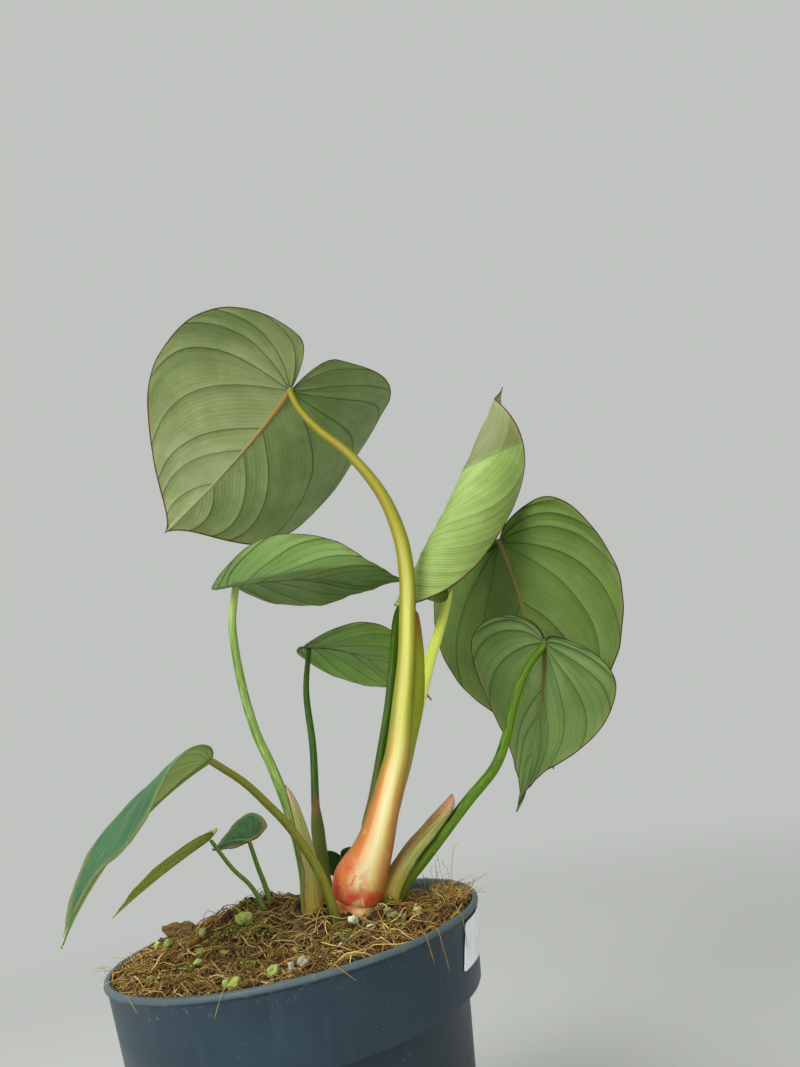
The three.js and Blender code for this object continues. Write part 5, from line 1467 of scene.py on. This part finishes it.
def build_sheaths():
    """Every sheath with its own finish."""
    finishes = {
        "sheath_b": dict(outer=(160, 174, 44), streak=(138, 150, 34), edge=(160, 92, 40),
                         inner=(120, 110, 50), tip=(140, 74, 38), shine=0.55, edge_from=0.40),
        # On sheath_d the pale streak colour also paints a highlight, the sheath's silvery sheen
        "sheath_d": dict(outer=(122, 134, 44), streak=(174, 176, 104), edge=(120, 116, 54),
                         inner=(140, 132, 84), tip=(184, 128, 104), shine=0.34, ridge=(124, 84, 46)),
        "sheath_e": dict(outer=(184, 186, 116), streak=(140, 150, 78), edge=(150, 84, 62),
                         inner=(206, 188, 140), tip=(222, 188, 160), shine=0.45),
        "sheath_f": dict(outer=(84, 108, 32), streak=(104, 104, 42), edge=(140, 92, 54),
                         inner=(100, 100, 48), tip=(140, 90, 58), shine=0.5),
    }
    ragged = {"sheath_b": 3, "sheath_d": 3, "sheath_e": 4, "sheath_f": 4}
    for seed, (name, sheath) in enumerate(SHEATHS.items()):
        material = sheath_material(name + "_skin", **finishes[name])
        build_sheath(name, sheath, material, 71 + seed, ragged[name])


def build_ground():
    """The soil and what lies on it."""
    looks = {
        "fibre": ("coir", 0.7, 0.5, [(0.0, (102, 70, 26)), (0.35, (158, 118, 50)), (0.7, (206, 166, 84)),
                                     (1.0, (234, 208, 138))]),
        "crumb": ("peat_crumb", 0.95, 0.5, [(0.0, (40, 28, 18)), (0.6, (78, 54, 34)), (1.0, (112, 82, 50))]),
        "moss": ("moss", 0.8, 0.4, [(0.0, (100, 104, 40)), (0.5, (140, 142, 58)), (1.0, (172, 176, 88))]),
        "perlite": ("perlite", 0.75, 0.5, [(0.0, (240, 238, 222)), (0.5, (208, 216, 146)),
                                           (1.0, (166, 184, 86))]),
        "bark": ("bark_chip", 0.85, 1.0, [(0.0, (92, 72, 40)), (1.0, (138, 112, 68))]),
    }
    build_soil(soil_material())
    build_litter({key: tinted_material(*look) for key, look in looks.items()})


def add_camera():
    """The photo's own viewpoint."""
    pitch, roll = np.radians([CAMERA_PITCH, CAMERA_ROLL])
    ahead = np.array([0, np.cos(pitch), np.sin(pitch)])
    level = np.array([1.0, 0, 0])
    upright = np.cross(level, ahead)
    right = np.cos(roll) * level + np.sin(roll) * upright
    up = np.cos(roll) * upright - np.sin(roll) * level
    camera = bpy.data.objects.new("camera", bpy.data.cameras.new("camera"))
    camera.data.sensor_width = SENSOR
    camera.data.lens = FOCAL_PIXELS / max(PHOTO_SIZE) * SENSOR
    camera.data.clip_start = 0.01
    place = np.array(CAMERA_PLACE) * MM
    camera.matrix_world = Matrix([[right[k], up[k], -ahead[k], place[k]] for k in range(3)] + [[0, 0, 0, 1]])
    bpy.context.scene.collection.objects.link(camera)
    bpy.context.scene.camera = camera


def add_lamp(name, place, aim, size, power, colour):
    """A square lamp turned to a point."""
    lamp = bpy.data.lights.new(name, "AREA")
    lamp.energy, lamp.size, lamp.color = power, size, colour
    holder = bpy.data.objects.new(name, lamp)
    holder.location = place
    holder.rotation_euler = (Vector(aim) - Vector(place)).to_track_quat("-Z", "Y").to_euler()
    bpy.context.scene.collection.objects.link(holder)


def add_studio():
    """A plain grey room with three soft lamps and a floor that fades into the wall."""
    bpy.context.scene.view_settings.view_transform = "Standard"
    world = bpy.data.worlds.new("studio")
    bpy.context.scene.world = world
    world.use_nodes = True
    sky = world.node_tree.nodes["Background"]
    sky.inputs["Color"].default_value = (*rgb(*WALL_GREY), 1)
    sky.inputs["Strength"].default_value = 1.0
    for name, lamp in LAMPS.items():
        add_lamp(name, **lamp)
    floor_mesh = bpy.data.meshes.new("floor")
    ring = polar(FLOOR_RADIUS, circle(FLOOR_SIDES), -FLOOR_DROP)
    floor_mesh.from_pydata(ring.tolist(), [], [tuple(range(FLOOR_SIDES))])
    shade = Shader("floor", Specular_IOR_Level=0.0, Roughness=1.0)
    x, y, _ = shade.node("ShaderNodeSeparateXYZ", {0: shade.place()}).outputs
    away = shade.calc("SQRT", shade.calc("ADD", shade.times(x, x), shade.times(y, y)))
    far = shade.fade(away, *FLOOR_FADE)
    shade.put(shade.surface.inputs["Base Color"], shade.mix(far, FLOOR_GREY, (0, 0, 0)))
    shade.put(shade.surface.inputs["Emission Color"], shade.mix(far, (0, 0, 0), WALL_GREY))
    shade.surface.inputs["Emission Strength"].default_value = 1.0
    floor_mesh.materials.append(shade.material)
    ground = bpy.data.objects.new("floor", floor_mesh)
    bpy.context.scene.collection.objects.link(ground)


build_pot(pot_material())
build_sticker(paper_material())
build_ground()
build_crown(crown_material())
build_stalks()
build_sheaths()
build_leaves()
add_camera()
add_studio()
